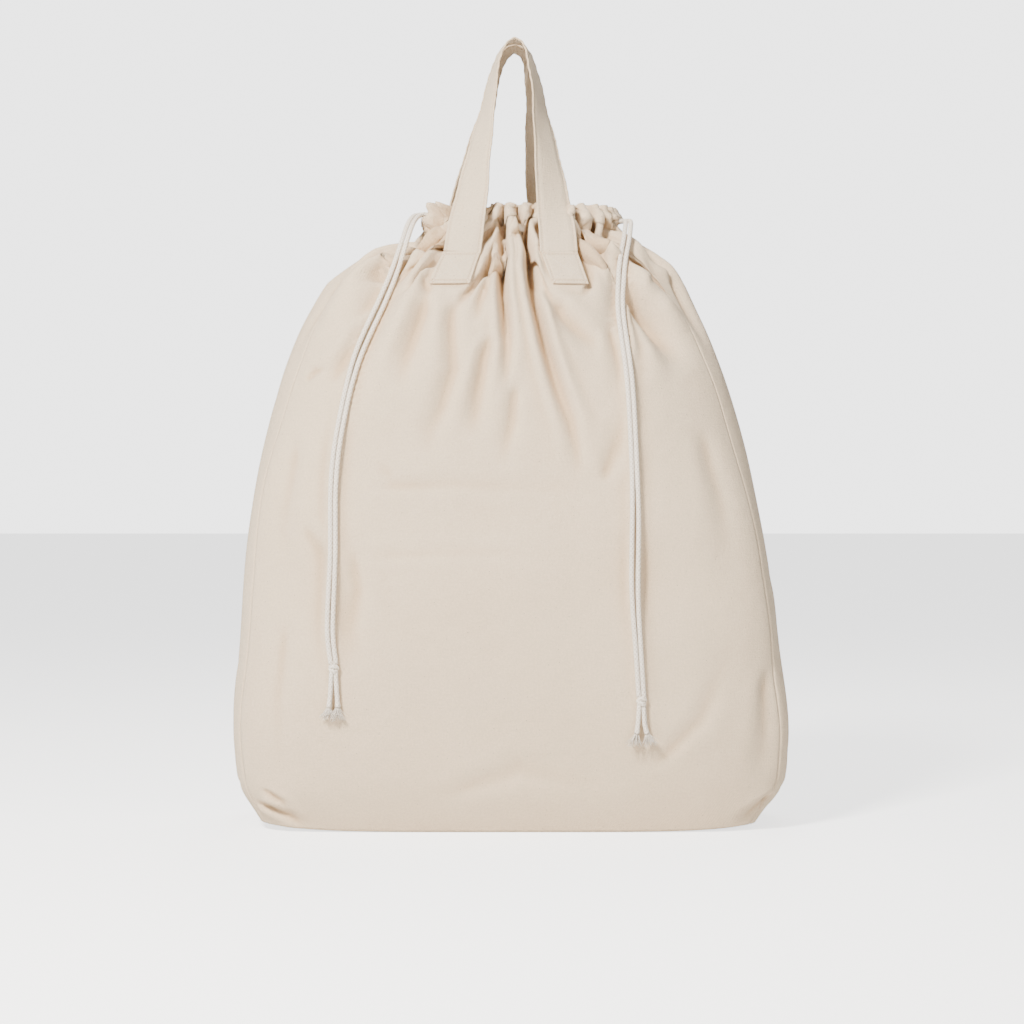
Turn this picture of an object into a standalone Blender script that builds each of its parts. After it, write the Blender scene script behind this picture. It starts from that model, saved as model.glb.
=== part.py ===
"""Drawstring laundry bag in canvas.

Five sewn panels stand as a stuffed bag, a two-piece channel runs round the gathered
mouth, two cords run inside the channel and leave it one at each side, and two strap
handles rise from tabs sewn to the front and rear shoulders.
Metres, +Z up, the front panel faces -Y, the bag stands on z = 0.
"""
import math

import bmesh
import bpy
from mathutils import Vector

# ---------------------------------------------------------------- driving sizes
WALL = 0.0015            # sewn canvas wall
GAP = 0.0003             # clearance between pieces that touch
SEAM_TRIM = 0.0004       # each panel stops this far short of its corner seam
PANEL_TOP = 0.7731       # top edge of the four upright panels
CHANNEL_HEIGHT = 0.022   # drawcord channel, folded flat
CHANNEL_DEPTH = 0.011
CHANNEL_END_Y = 0.020    # half the opening left at each side of the mouth
CORD_RADIUS = 0.003
CORD_SPREAD = 0.0037     # half the spacing of the two strands of a pair
CORD_LIFT = 0.0090       # a hanging cord's centre keeps this far off the canvas
UPPER_RUN_LIFT = 0.0045  # the left cord runs above the right one in the channel
STRAP_WIDTH = 0.048
STRAP_THICKNESS = 0.0026
TAB_STANDOFF = 0.0007
KNOT_RADIUS = 0.0076
KNOT_HEIGHT = 0.009
CREASE_Z = 0.7280        # line where each handle leaves its sewn tabs
CREASE_GAP = 0.0026      # height of the fold between a tab and its loop
CREASE_OUT = 0.0962      # the fold line's distance out from the middle of the bag
TAB_BOTTOM_Z = 0.6870

# height, left edge, right edge, half depth, corner squareness of the stuffed bag
PROFILE = (
    (0.0000, -0.3220, 0.3120, 0.1120, 7.0),
    (0.0120, -0.3290, 0.3200, 0.1190, 6.5),
    (0.0400, -0.3440, 0.3420, 0.1310, 5.6),
    (0.1034, -0.3556, 0.3543, 0.1420, 4.8),
    (0.2334, -0.3500, 0.3430, 0.1510, 4.2),
    (0.3834, -0.3390, 0.3215, 0.1540, 3.7),
    (0.5034, -0.3165, 0.2970, 0.1480, 3.2),
    (0.5994, -0.2878, 0.2656, 0.1360, 2.9),
    (0.6634, -0.2570, 0.2360, 0.1200, 2.6),
    (0.7034, -0.2277, 0.2134, 0.1040, 2.5),
    (0.7334, -0.1930, 0.1920, 0.0880, 2.4),
    (0.7554, -0.1560, 0.1700, 0.0720, 2.3),
    (0.7731, -0.1030, 0.1250, 0.0500, 2.3),
)

# centre lines: x, y, z
LEFT_STRANDS = (
    (-0.1143, 0.0000, 0.7889), (-0.1213, -0.0050, 0.7878), (-0.1268, -0.0195, 0.7822),
    (-0.1316, -0.0380, 0.7706), (-0.1366, -0.0550, 0.7520), (-0.1436, -0.0710, 0.7260),
    (-0.1517, -0.0825, 0.6999), (-0.1645, -0.0975, 0.6665), (-0.1947, -0.1225, 0.5923),
    (-0.2130, -0.1450, 0.5089), (-0.2211, -0.1530, 0.4384), (-0.2218, -0.1570, 0.3455),
    (-0.2251, -0.1570, 0.2573), (-0.2208, -0.1565, 0.2126),
)
RIGHT_STRANDS = (
    (0.1383, 0.0000, 0.7799), (0.1465, -0.0045, 0.7803), (0.1505, -0.0190, 0.7775),
    (0.1492, -0.0390, 0.7660), (0.1462, -0.0575, 0.7480), (0.1414, -0.0750, 0.7240),
    (0.1384, -0.0870, 0.6975), (0.1368, -0.1090, 0.6525), (0.1459, -0.1440, 0.5675),
    (0.1503, -0.1565, 0.4848), (0.1525, -0.1620, 0.4033), (0.1518, -0.1630, 0.3049),
    (0.1561, -0.1620, 0.2292), (0.1599, -0.1610, 0.1722),
)
LEFT_KNOT_TOP = LEFT_STRANDS[-1]
RIGHT_KNOT_TOP = RIGHT_STRANDS[-1]
LEFT_TAIL_LENGTH = 0.056
RIGHT_TAIL_LENGTH = 0.048

# half strap loop: x, distance out from the middle of the bag, z, twist from facing out
FRONT_LEFT_LEG = (
    (-0.0629, 0.0835, 0.7308, 5.0), (-0.0585, 0.0770, 0.7638, 12.0),
    (-0.0518, 0.0685, 0.8040, 26.0), (-0.0432, 0.0560, 0.8597, 50.0),
    (-0.0315, 0.0430, 0.9208, 66.0), (-0.0237, 0.0340, 0.9669, 74.0),
    (-0.0139, 0.0285, 0.9987, 82.0),
)
FRONT_RIGHT_LEG = (
    (0.0593, 0.0835, 0.7308, 5.0), (0.0570, 0.0770, 0.7638, 12.0),
    (0.0518, 0.0685, 0.8040, 26.0), (0.0451, 0.0560, 0.8597, 50.0),
    (0.0365, 0.0430, 0.9208, 66.0), (0.0287, 0.0340, 0.9669, 74.0),
    (0.0193, 0.0285, 0.9987, 82.0),
)
REAR_LEFT_LEG = (
    (-0.0759, 0.0825, 0.7309, 6.0), (-0.0721, 0.0765, 0.7639, 12.0),
    (-0.0635, 0.0685, 0.8040, 26.0), (-0.0510, 0.0560, 0.8597, 50.0),
    (-0.0355, 0.0430, 0.9208, 66.0), (-0.0247, 0.0340, 0.9669, 74.0),
    (-0.0139, 0.0285, 0.9977, 82.0),
)
REAR_RIGHT_LEG = (
    (0.0535, 0.0840, 0.7307, 5.0), (0.0487, 0.0770, 0.7638, 12.0),
    (0.0420, 0.0685, 0.8040, 26.0), (0.0343, 0.0560, 0.8597, 50.0),
    (0.0286, 0.0430, 0.9208, 66.0), (0.0247, 0.0340, 0.9669, 74.0),
    (0.0188, 0.0285, 0.9977, 82.0),
)
APEX = (0.0030, 0.0265, 1.0105, 90.0)

# tab edges: x at the crease, x at the lower edge
FRONT_TABS = {"left": (-0.0868, -0.0392, -0.1040, -0.0528),
              "right": (0.0358, 0.0824, 0.0508, 0.0962)}
REAR_TABS = {"left": (-0.0992, -0.0524, -0.1140, -0.0656),
             "right": (0.0302, 0.0766, 0.0434, 0.0898)}


# ---------------------------------------------------------------- scene and materials
for old in list(bpy.data.objects):
    bpy.data.objects.remove(old, do_unlink=True)

bag_parts = bpy.data.collections.new("laundry_bag")
bpy.context.scene.collection.children.link(bag_parts)


def make_material(name, colour, roughness):
    material = bpy.data.materials.new(name)
    material.use_nodes = True
    shader = material.node_tree.nodes["Principled BSDF"]
    shader.inputs["Base Color"].default_value = (*colour, 1.0)
    shader.inputs["Roughness"].default_value = roughness
    shader.inputs["Metallic"].default_value = 0.0
    material.diffuse_color = (*colour, 1.0)
    return material


CANVAS = make_material("natural_canvas", (0.80, 0.72, 0.62), 0.92)
BASE_CANVAS = make_material("base_canvas", (0.76, 0.68, 0.58), 0.92)
HEM_CANVAS = make_material("hem_canvas", (0.78, 0.70, 0.60), 0.92)
WEBBING = make_material("strap_canvas", (0.80, 0.73, 0.64), 0.90)
COTTON_CORD = make_material("cotton_cord", (0.86, 0.83, 0.79), 0.85)


def finish_object(item, material, parent=None):
    for collection in list(item.users_collection):
        collection.objects.unlink(item)
    bag_parts.objects.link(item)
    item.data.materials.clear()
    item.data.materials.append(material)
    if parent is not None:
        hang_on(item, parent)
    return item


def hang_on(item, parent):
    item.parent = parent
    item.matrix_parent_inverse = parent.matrix_world.inverted()


def joint_empty(name, place, parent=None):
    empty = bpy.data.objects.new(name, None)
    empty.empty_display_size = 0.03
    empty.location = place
    bag_parts.objects.link(empty)
    bpy.context.view_layer.update()
    if parent is not None:
        hang_on(empty, parent)
        bpy.context.view_layer.update()
    return empty


# ---------------------------------------------------------------- curves and sections
def smooth_row(rows, position):
    """Catmull-Rom value at a fractional index into rows of equal length."""
    last = len(rows) - 1
    index = max(0, min(int(position), last - 1))
    share = position - index
    before = rows[max(index - 1, 0)]
    start = rows[index]
    end = rows[index + 1]
    after = rows[min(index + 2, last)]
    values = []
    for a, b, c, d in zip(before, start, end, after):
        slope_b = (c - a) * 0.5
        slope_c = (d - b) * 0.5
        values.append(b + slope_b * share
                      + (3.0 * (c - b) - 2.0 * slope_b - slope_c) * share ** 2
                      + (2.0 * (b - c) + slope_b + slope_c) * share ** 3)
    return values


def profile_at(z):
    rows = PROFILE
    index = 0
    while index < len(rows) - 2 and z > rows[index + 1][0]:
        index += 1
    share = (z - rows[index][0]) / (rows[index + 1][0] - rows[index][0])
    left, right, depth, square = smooth_row([row[1:] for row in rows], index + share)
    return (left + right) * 0.5, (right - left) * 0.5, depth, square


def ring_point(z, angle):
    """Outer surface of the stuffed bag at a height and a plan angle (-90 is the front)."""
    centre, half_width, half_depth, square = profile_at(z)
    c = math.cos(math.radians(angle))
    s = math.sin(math.radians(angle))
    x = centre + half_width * math.copysign(abs(c) ** (2.0 / square), c)
    y = half_depth * math.copysign(abs(s) ** (2.0 / square), s)
    return Vector((x, y, z))


def depth_at(x, z):
    """How far the front (or rear) surface stands out from y = 0 at a place."""
    centre, half_width, half_depth, square = profile_at(z)
    share = min(abs(x - centre) / half_width, 1.0)
    return half_depth * (1.0 - share ** square) ** (1.0 / square)


def even_arc(z, start, end, count, trim):
    """Points evenly spaced along one height's outline between two plan angles."""
    fine = [ring_point(z, start + (end - start) * i / 240) for i in range(241)]
    along = [0.0]
    for a, b in zip(fine, fine[1:]):
        along.append(along[-1] + (b - a).length)
    points = []
    step = 0
    for k in range(count):
        target = trim + (along[-1] - 2.0 * trim) * k / (count - 1)
        while step < len(fine) - 2 and along[step + 1] < target:
            step += 1
        share = (target - along[step]) / (along[step + 1] - along[step])
        points.append(fine[step].lerp(fine[step + 1], share))
    return points


def surface_from_rows(name, rows, closed=False):
    """Open quad surface through rows of points."""
    bm = bmesh.new()
    grid = [[bm.verts.new(point) for point in row] for row in rows]
    for lower, upper in zip(grid, grid[1:]):
        count = len(lower)
        for k in range(count if closed else count - 1):
            m = (k + 1) % count
            bm.faces.new((lower[k], lower[m], upper[m], upper[k]))
    mesh = bpy.data.meshes.new(name)
    bm.to_mesh(mesh)
    bm.free()
    return bpy.data.objects.new(name, mesh)


def add_wall(item, thickness, side):
    wall = item.modifiers.new("wall", "SOLIDIFY")
    wall.thickness = thickness
    wall.offset = side
    wall.use_even_offset = True
    wall.use_rim = True


# ---------------------------------------------------------------- panels
PANEL_ROWS = (WALL + GAP, 0.012, 0.026, 0.046, 0.075, 0.115, 0.175, 0.245, 0.315, 0.385,
              0.445, 0.505, 0.560, 0.605, 0.645, 0.675, 0.699, 0.718, 0.734, 0.748,
              0.761, PANEL_TOP)


def make_panel(name, start, end, count):
    rows = [even_arc(z, start, end, count, SEAM_TRIM) for z in PANEL_ROWS]
    panel = surface_from_rows(name, rows)
    finish_object(panel, CANVAS)
    add_wall(panel, WALL, -1.0)
    return panel


make_panel("front_panel", -135.0, -45.0, 25)
make_panel("rear_panel", 45.0, 135.0, 25)
make_panel("right_gusset", -45.0, 45.0, 11)
make_panel("left_gusset", 135.0, 225.0, 11)

base_line = bpy.data.curves.new("base_panel", "CURVE")
base_line.dimensions = "2D"
base_line.fill_mode = "BOTH"
base_line.extrude = WALL * 0.5
outline = base_line.splines.new("POLY")
base_points = []
for corner in range(4):
    base_points += even_arc(0.0, -135.0 + 90.0 * corner, -45.0 + 90.0 * corner, 13, 0.0)[:-1]
outline.points.add(len(base_points) - 1)
for slot, point in zip(outline.points, base_points):
    slot.co = (point.x, point.y, 0.0, 1.0)
outline.use_cyclic_u = True
base_panel = bpy.data.objects.new("base_panel", base_line)
base_panel.location = (0.0, 0.0, WALL * 0.5)
finish_object(base_panel, BASE_CANVAS)


# ---------------------------------------------------------------- drawcord channel
MOUTH_CENTRE_X = 0.011
MOUTH_HALF_WIDTH = 0.1075
MOUTH_HALF_DEPTH = 0.0475
CHANNEL_BOTTOM = PANEL_TOP + GAP
CHANNEL_MIDDLE = CHANNEL_BOTTOM + CHANNEL_HEIGHT * 0.5


def mouth_point(angle):
    c = math.cos(math.radians(angle))
    s = math.sin(math.radians(angle))
    return Vector((MOUTH_CENTRE_X + MOUTH_HALF_WIDTH * c, MOUTH_HALF_DEPTH * s, 0.0))


def mouth_normal(angle):
    c = math.cos(math.radians(angle))
    s = math.sin(math.radians(angle))
    return Vector((MOUTH_HALF_DEPTH * c, MOUTH_HALF_WIDTH * s, 0.0)).normalized()


END_ANGLE = math.degrees(math.asin(CHANNEL_END_Y / MOUTH_HALF_DEPTH))
CHANNEL_STATIONS = 21


def channel_angles(side):
    start = side * END_ANGLE
    return [start + side * (180.0 - 2.0 * END_ANGLE) * k / (CHANNEL_STATIONS - 1)
            for k in range(CHANNEL_STATIONS)]


def make_channel(name, side):
    rows = []
    for angle in channel_angles(side):
        middle = mouth_point(angle) + Vector((0.0, 0.0, CHANNEL_MIDDLE))
        out = mouth_normal(angle) * (CHANNEL_DEPTH * 0.5)
        up = Vector((0.0, 0.0, CHANNEL_HEIGHT * 0.5))
        loop = [middle + out - up, middle + out + up, middle - out + up, middle - out - up]
        rows.append(loop if side > 0 else loop[::-1])
    channel = surface_from_rows(name, rows, closed=True)
    finish_object(channel, HEM_CANVAS)
    add_wall(channel, WALL, 1.0)
    return channel


make_channel("front_casing", -1)
make_channel("rear_casing", 1)


# ---------------------------------------------------------------- cords
def make_cord(name, points, parent=None):
    """Round cord along a line of points, with flat ends."""
    line = bpy.data.curves.new(name, "CURVE")
    line.dimensions = "3D"
    line.bevel_depth = CORD_RADIUS
    line.bevel_resolution = 2
    line.use_fill_caps = True
    spline = line.splines.new("POLY")
    spline.points.add(len(points) - 1)
    for slot, point in zip(spline.points, points):
        slot.co = (*point, 1.0)
    cord = bpy.data.objects.new(name, line)
    return finish_object(cord, COTTON_CORD, parent)


def read_route(rows, spacing):
    """Points at an even spacing along the smooth curve through the rows."""
    fine = [Vector(smooth_row(rows, (len(rows) - 1) * i / 400)[:3]) for i in range(401)]
    along = [0.0]
    for a, b in zip(fine, fine[1:]):
        along.append(along[-1] + (b - a).length)
    count = max(3, round(along[-1] / spacing) + 1)
    points = []
    step = 0
    for k in range(count):
        target = along[-1] * k / (count - 1)
        while step < len(fine) - 2 and along[step + 1] < target:
            step += 1
        share = (target - along[step]) / (along[step + 1] - along[step])
        points.append(fine[step].lerp(fine[step + 1], share))
    return points


def exit_lead(side, exit_x, sign):
    """From one channel end out through the side opening; sign is -1 front, +1 rear."""
    inner_x = MOUTH_CENTRE_X + side * MOUTH_HALF_WIDTH * math.cos(math.radians(END_ANGLE))
    reach = exit_x - inner_x
    return [(inner_x, sign * CHANNEL_END_Y, 0.0),
            (inner_x + reach * 0.10, sign * 0.0155, 0.0),
            (inner_x + reach * 0.26, sign * 0.0095, 0.0),
            (inner_x + reach * 0.52, sign * 0.0050, 0.0),
            (inner_x + reach * 0.80, sign * CORD_SPREAD, 0.0),
            (exit_x, sign * CORD_SPREAD, 0.0)]


def run_points(side, exit_x, z):
    """One cord inside the whole channel, both ends out at the same side."""
    front = [mouth_point(a) for a in channel_angles(-1)]
    rear = [mouth_point(a) for a in channel_angles(1)]
    if side < 0:
        front.reverse()
        far_angles = [-END_ANGLE * 0.5, 0.0, END_ANGLE * 0.5]
    else:
        rear.reverse()
        front_start = [180.0 + END_ANGLE * 0.5, 180.0, 180.0 - END_ANGLE * 0.5]
        far_angles = front_start
    far = [mouth_point(a) for a in far_angles]
    if side > 0:
        rear_line = rear
        front_line = front
    else:
        rear_line = rear
        front_line = front
    lead_front = [Vector(p) for p in exit_lead(side, exit_x, -1)][::-1]
    lead_rear = [Vector(p) for p in exit_lead(side, exit_x, 1)]
    points = lead_front[:-1] + front_line + far + rear_line + lead_rear[1:]
    return [Vector((p.x, p.y, z)) for p in points]


LEFT_EXIT_X = LEFT_STRANDS[0][0] + GAP
RIGHT_EXIT_X = RIGHT_STRANDS[0][0] - GAP
make_cord("left_cord_in_casing",
          run_points(-1, LEFT_EXIT_X, CHANNEL_MIDDLE + UPPER_RUN_LIFT))
make_cord("right_cord_in_casing",
          run_points(1, RIGHT_EXIT_X, CHANNEL_MIDDLE - UPPER_RUN_LIFT))


def strand_points(route, side, strand):
    """strand -1 starts nearer the front and ends up on the inner side of the pair."""
    close = read_route(route, 0.0072)
    bend = close[:9]
    centre = bend + close[10:-1:2] + [close[-1]]
    for point in centre:
        if point.z < PANEL_TOP:
            point.y = min(point.y, -depth_at(point.x, point.z) - CORD_LIFT)
    first = centre[0]
    points = []
    for k, point in enumerate(centre):
        along = (centre[min(k + 1, len(centre) - 1)] - centre[max(k - 1, 0)]).normalized()
        turn = min(1.0, max(0.0, (first - point).length - 0.004) / 0.060)
        angle = math.radians(90.0 * turn)
        outward = Vector((0.0, -math.sin(angle), math.cos(angle)))
        across = outward.cross(along).normalized()
        if k == 0:
            across = Vector((0.0, side, 0.0))
        points.append(point + across * (strand * side * CORD_SPREAD))
    points[-1].z = centre[-1].z
    points.insert(1, points[0] + Vector((side * 0.0020, 0.0, 0.0)))
    points.insert(-1, points[-1] + Vector((0.0, 0.0, 0.0030)))
    return points


def make_pair(side_name, side, route, tail_length):
    pivot = Vector(route[0])
    swing = joint_empty(side_name + "_cord_pivot", pivot)
    end = Vector(route[-1])
    draw = joint_empty(side_name + "_knot_slide", end, swing)
    for strand, label in ((-1, "front"), (1, "rear")):
        make_cord("%s_cord_%s_strand" % (side_name, label),
                  strand_points(route, side, strand), swing)
    knot_top = end.z - GAP
    bpy.ops.mesh.primitive_cylinder_add(vertices=20, radius=KNOT_RADIUS, depth=KNOT_HEIGHT,
                                        location=(end.x, end.y, knot_top - KNOT_HEIGHT * 0.5))
    knot = bpy.context.object
    knot.name = side_name + "_knot"
    knot.data.name = knot.name
    rounding = knot.modifiers.new("rounding", "BEVEL")
    rounding.width = 0.0022
    rounding.segments = 2
    rounding.limit_method = "ANGLE"
    finish_object(knot, COTTON_CORD, draw)
    tail_top = knot_top - KNOT_HEIGHT - GAP
    for strand, label in ((-1, "inner"), (1, "outer")):
        across = strand * side
        rows = [(end.x + across * CORD_SPREAD, end.y, tail_top),
                (end.x + across * 0.0036, end.y + 0.0004, tail_top - tail_length * 0.35),
                (end.x + across * 0.0046, end.y + 0.0008, tail_top - tail_length * 0.70),
                (end.x + across * 0.0062, end.y + 0.0002, tail_top - tail_length)]
        make_cord("%s_cord_%s_tail" % (side_name, label), read_route(rows, 0.0125), draw)


make_pair("left", -1, LEFT_STRANDS, LEFT_TAIL_LENGTH)
make_pair("right", 1, RIGHT_STRANDS, RIGHT_TAIL_LENGTH)


# ---------------------------------------------------------------- strap handles
def make_tab(name, face, edges):
    """Sewn end of a strap, lying on the shoulder. face is -1 front, +1 rear."""
    top_outer, top_inner, low_outer, low_inner = edges
    rows = []
    for row in range(5):
        share = row / 4.0
        z = TAB_BOTTOM_Z + (CREASE_Z - GAP - TAB_BOTTOM_Z) * share
        points = []
        for column in range(5):
            across = column / 4.0
            low = low_outer + (low_inner - low_outer) * across
            top = top_outer + (top_inner - top_outer) * across
            x = low + (top - low) * share
            points.append(Vector((x, face * (depth_at(x, z) + TAB_STANDOFF), z)))
        rows.append(points if face < 0 else points[::-1])
    tab = surface_from_rows(name, rows)
    finish_object(tab, WEBBING)
    add_wall(tab, STRAP_THICKNESS, 1.0)
    return tab


def strap_foot(x):
    """Distance out from the middle of the bag of a strap's core where it leaves the tab."""
    return depth_at(x, CREASE_Z) + TAB_STANDOFF + STRAP_THICKNESS * 0.5 + 0.0010


def make_handle(name, face, left_leg, right_leg, pivot):
    rows = [(x, face * out, z, twist) for x, out, z, twist in left_leg]
    rows.append((APEX[0], face * APEX[1], APEX[2], APEX[3]))
    rows += [(x, face * out, z, 180.0 - twist) for x, out, z, twist in right_leg[::-1]]
    rows[0] = (rows[0][0], face * strap_foot(rows[0][0]), CREASE_Z + CREASE_GAP, rows[0][3])
    rows[-1] = (rows[-1][0], face * strap_foot(rows[-1][0]), CREASE_Z + CREASE_GAP, rows[-1][3])
    stations = 44
    line = [smooth_row(rows, (len(rows) - 1) * k / stations) for k in range(stations + 1)]
    sections = []
    for k, (x, y, z, twist) in enumerate(line):
        here = Vector((x, y, z))
        before = Vector(line[max(k - 1, 0)][:3])
        after = Vector(line[min(k + 1, stations)][:3])
        along = (after - before).normalized()
        angle = math.radians(twist)
        across = Vector((math.cos(angle), face * math.sin(angle), 0.0))
        if k in (0, stations):
            along = Vector((0.0, 0.0, 1.0 if k == 0 else -1.0))
        across = (across - along * across.dot(along)).normalized()
        out = across.cross(along) * (-face)
        half = across * (STRAP_WIDTH * 0.5)
        skin = out * (STRAP_THICKNESS * 0.5)
        loop = [here - half - skin, here + half - skin, here + half + skin, here - half + skin]
        sections.append(loop if face < 0 else loop[::-1])
    bm = bmesh.new()
    rings = [[bm.verts.new(point) for point in section] for section in sections]
    for lower, upper in zip(rings, rings[1:]):
        for m in range(4):
            n = (m + 1) % 4
            bm.faces.new((lower[m], lower[n], upper[n], upper[m]))
    bm.faces.new(rings[0][::-1])
    bm.faces.new(rings[-1])
    bmesh.ops.recalc_face_normals(bm, faces=bm.faces)
    mesh = bpy.data.meshes.new(name)
    bm.to_mesh(mesh)
    bm.free()
    return finish_object(bpy.data.objects.new(name, mesh), WEBBING, pivot)


front_pivot = joint_empty("front_handle_crease", (0.0, -CREASE_OUT, CREASE_Z + CREASE_GAP * 0.6))
rear_pivot = joint_empty("rear_handle_crease", (0.0, CREASE_OUT, CREASE_Z + CREASE_GAP * 0.6))
make_handle("front_handle", -1, FRONT_LEFT_LEG, FRONT_RIGHT_LEG, front_pivot)
make_handle("rear_handle", 1, REAR_LEFT_LEG, REAR_RIGHT_LEG, rear_pivot)
for side_name in ("left", "right"):
    make_tab("front_handle_%s_tab" % side_name, -1, FRONT_TABS[side_name])
    make_tab("rear_handle_%s_tab" % side_name, 1, REAR_TABS[side_name])
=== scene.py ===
import math

import bmesh
import bpy
import numpy as np
from bpy.props import FloatProperty, FloatVectorProperty, IntProperty, PointerProperty
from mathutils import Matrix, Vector


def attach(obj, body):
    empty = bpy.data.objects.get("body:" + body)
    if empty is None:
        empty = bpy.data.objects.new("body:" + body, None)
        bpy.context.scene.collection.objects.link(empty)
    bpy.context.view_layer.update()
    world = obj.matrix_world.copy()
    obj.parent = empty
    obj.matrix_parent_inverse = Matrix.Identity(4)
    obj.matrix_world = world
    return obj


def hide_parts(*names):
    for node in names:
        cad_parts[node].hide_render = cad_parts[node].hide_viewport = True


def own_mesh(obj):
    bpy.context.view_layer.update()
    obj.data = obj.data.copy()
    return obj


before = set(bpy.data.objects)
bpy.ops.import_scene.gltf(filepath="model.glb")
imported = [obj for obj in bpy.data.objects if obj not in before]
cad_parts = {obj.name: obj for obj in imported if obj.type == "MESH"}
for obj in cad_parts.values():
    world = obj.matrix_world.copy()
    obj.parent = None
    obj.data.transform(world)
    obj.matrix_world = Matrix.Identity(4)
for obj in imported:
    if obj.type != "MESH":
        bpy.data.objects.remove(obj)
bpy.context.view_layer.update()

bl_info = {
    "name": "Drawstring Laundry Bag",
    "version": (1, 0, 0),
    "blender": (4, 5, 0),
    "location": "3D View > Sidebar > Laundry Bag",
    "description": "Builds a stuffed canvas drawstring bag with strap handles and knotted cords",
    "category": "Add Mesh",
}

# ------------------------------------------------------------------ the bag's own sizes
# height, left edge, right edge, half depth, corner squareness of the stuffed body
BODY_PROFILE = np.array((
    (0.0000, -0.3220, 0.3120, 0.1120, 7.0),
    (0.0120, -0.3290, 0.3200, 0.1190, 6.5),
    (0.0400, -0.3440, 0.3420, 0.1310, 5.6),
    (0.1034, -0.3556, 0.3543, 0.1420, 4.8),
    (0.2334, -0.3500, 0.3430, 0.1510, 4.2),
    (0.3834, -0.3390, 0.3215, 0.1540, 3.7),
    (0.5034, -0.3165, 0.2970, 0.1480, 3.2),
    (0.5994, -0.2878, 0.2656, 0.1360, 2.9),
    (0.6634, -0.2570, 0.2360, 0.1200, 2.6),
    (0.7034, -0.2277, 0.2134, 0.1040, 2.5),
    (0.7334, -0.1930, 0.1920, 0.0880, 2.4),
    (0.7554, -0.1560, 0.1700, 0.0740, 2.3),
    (0.7734, -0.1150, 0.1370, 0.0600, 2.2),
    (0.7950, -0.0900, 0.1150, 0.0500, 2.1)))
RIM_Z = 0.795
PANEL_FLAT = 0.70            # flat width of the front and rear panels between seams
GUSSET_FLAT = 0.22
PANEL_HEIGHT = 0.850         # flat height, base seam to mouth edge
HEM_WIDTH = 0.024
FOLD_STRENGTH = 1.75
UNEVEN_SEED = 21
# heights and the values at them: the share of spare cloth, how far the cloth may sink into
# the filling or stand out from it, both as shares of the way out to the filling's surface,
# and the upward tilt of the direction in which folds stand
SPARE_CLOTH = ((0.0, 0.42, 0.50, 0.58, 0.62, 0.66, 0.69, 0.72, 0.745, 0.77, 0.80),
               (0.0, 0.0, 0.004, 0.012, 0.030, 0.09, 0.26, 0.70, 1.30, 2.1, 2.7))
SINKS_IN = ((0.44, 0.52, 0.60, 0.66, 0.70, 0.795), (0.0005, 0.002, 0.008, 0.06, 0.22, 0.55))
STANDS_OUT = ((0.44, 0.60, 0.66, 0.70, 0.74, 0.795), (0.0005, 0.002, 0.006, 0.020, 0.08, 0.20))
TILT = ((0.0, 0.45, 0.60, 0.70, 0.75, 0.795), (0.0, 0.0, 0.25, 0.55, 0.75, 0.30))
MIDDLE_PLEATS = (0.30, 0.40, 0.30)
DEEPEST_PLEAT = 0.024
START_RUFFLE = 0.0013
FILLING_PUSH = 2.4e-5         # outward move of free cloth in one step
CLOTH_SINK = 2.0e-6           # downward move by its weight in one step
KEPT_SPEED = 0.96             # share of the last step's move that goes on
CALM_PASSES = 16              # how often the cloth below the gathers is smoothed
CALM_LOW_Z, CALM_HIGH_Z = (0.36, 0.44), (0.62, 0.69)
STILL_Z = 0.44                # below this the filling holds the cloth taut
FILL_OUT = 0.004              # cloth stands this far outside the profile
PANEL_COLUMNS = 104
GUSSET_COLUMNS = 32
CLOTH_ROWS = 124
COLUMNS = 2 * (PANEL_COLUMNS + GUSSET_COLUMNS)
FULL_TURN = 1440              # points in one turn of an outline
FLAT_ROUND = 2 * (PANEL_FLAT + GUSSET_FLAT)
SEAM_FLAT = np.array((0.0, PANEL_FLAT, PANEL_FLAT + GUSSET_FLAT,
                      2 * PANEL_FLAT + GUSSET_FLAT, FLAT_ROUND))
# flat strips of a wide panel that lie under the sewn strap ends
STRAP_STRIPS = (-0.142, -0.094, 0.092, 0.140)
SEAM_INSET = 0.0034            # edge stitching stands this far inside a strap's edge
TAB_LOW_Z = 0.687
TAB_TOP_Z = 0.728
# strap edges at the lower end and at the crease, in the order of the strips
FRONT_TAB_EDGES = ((-0.1040, -0.0868), (-0.0528, -0.0392), (0.0508, 0.0358), (0.0962, 0.0824))
REAR_TAB_EDGES = ((0.0898, 0.0766), (0.0434, 0.0302), (-0.0656, -0.0524), (-0.1140, -0.0992))

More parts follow.
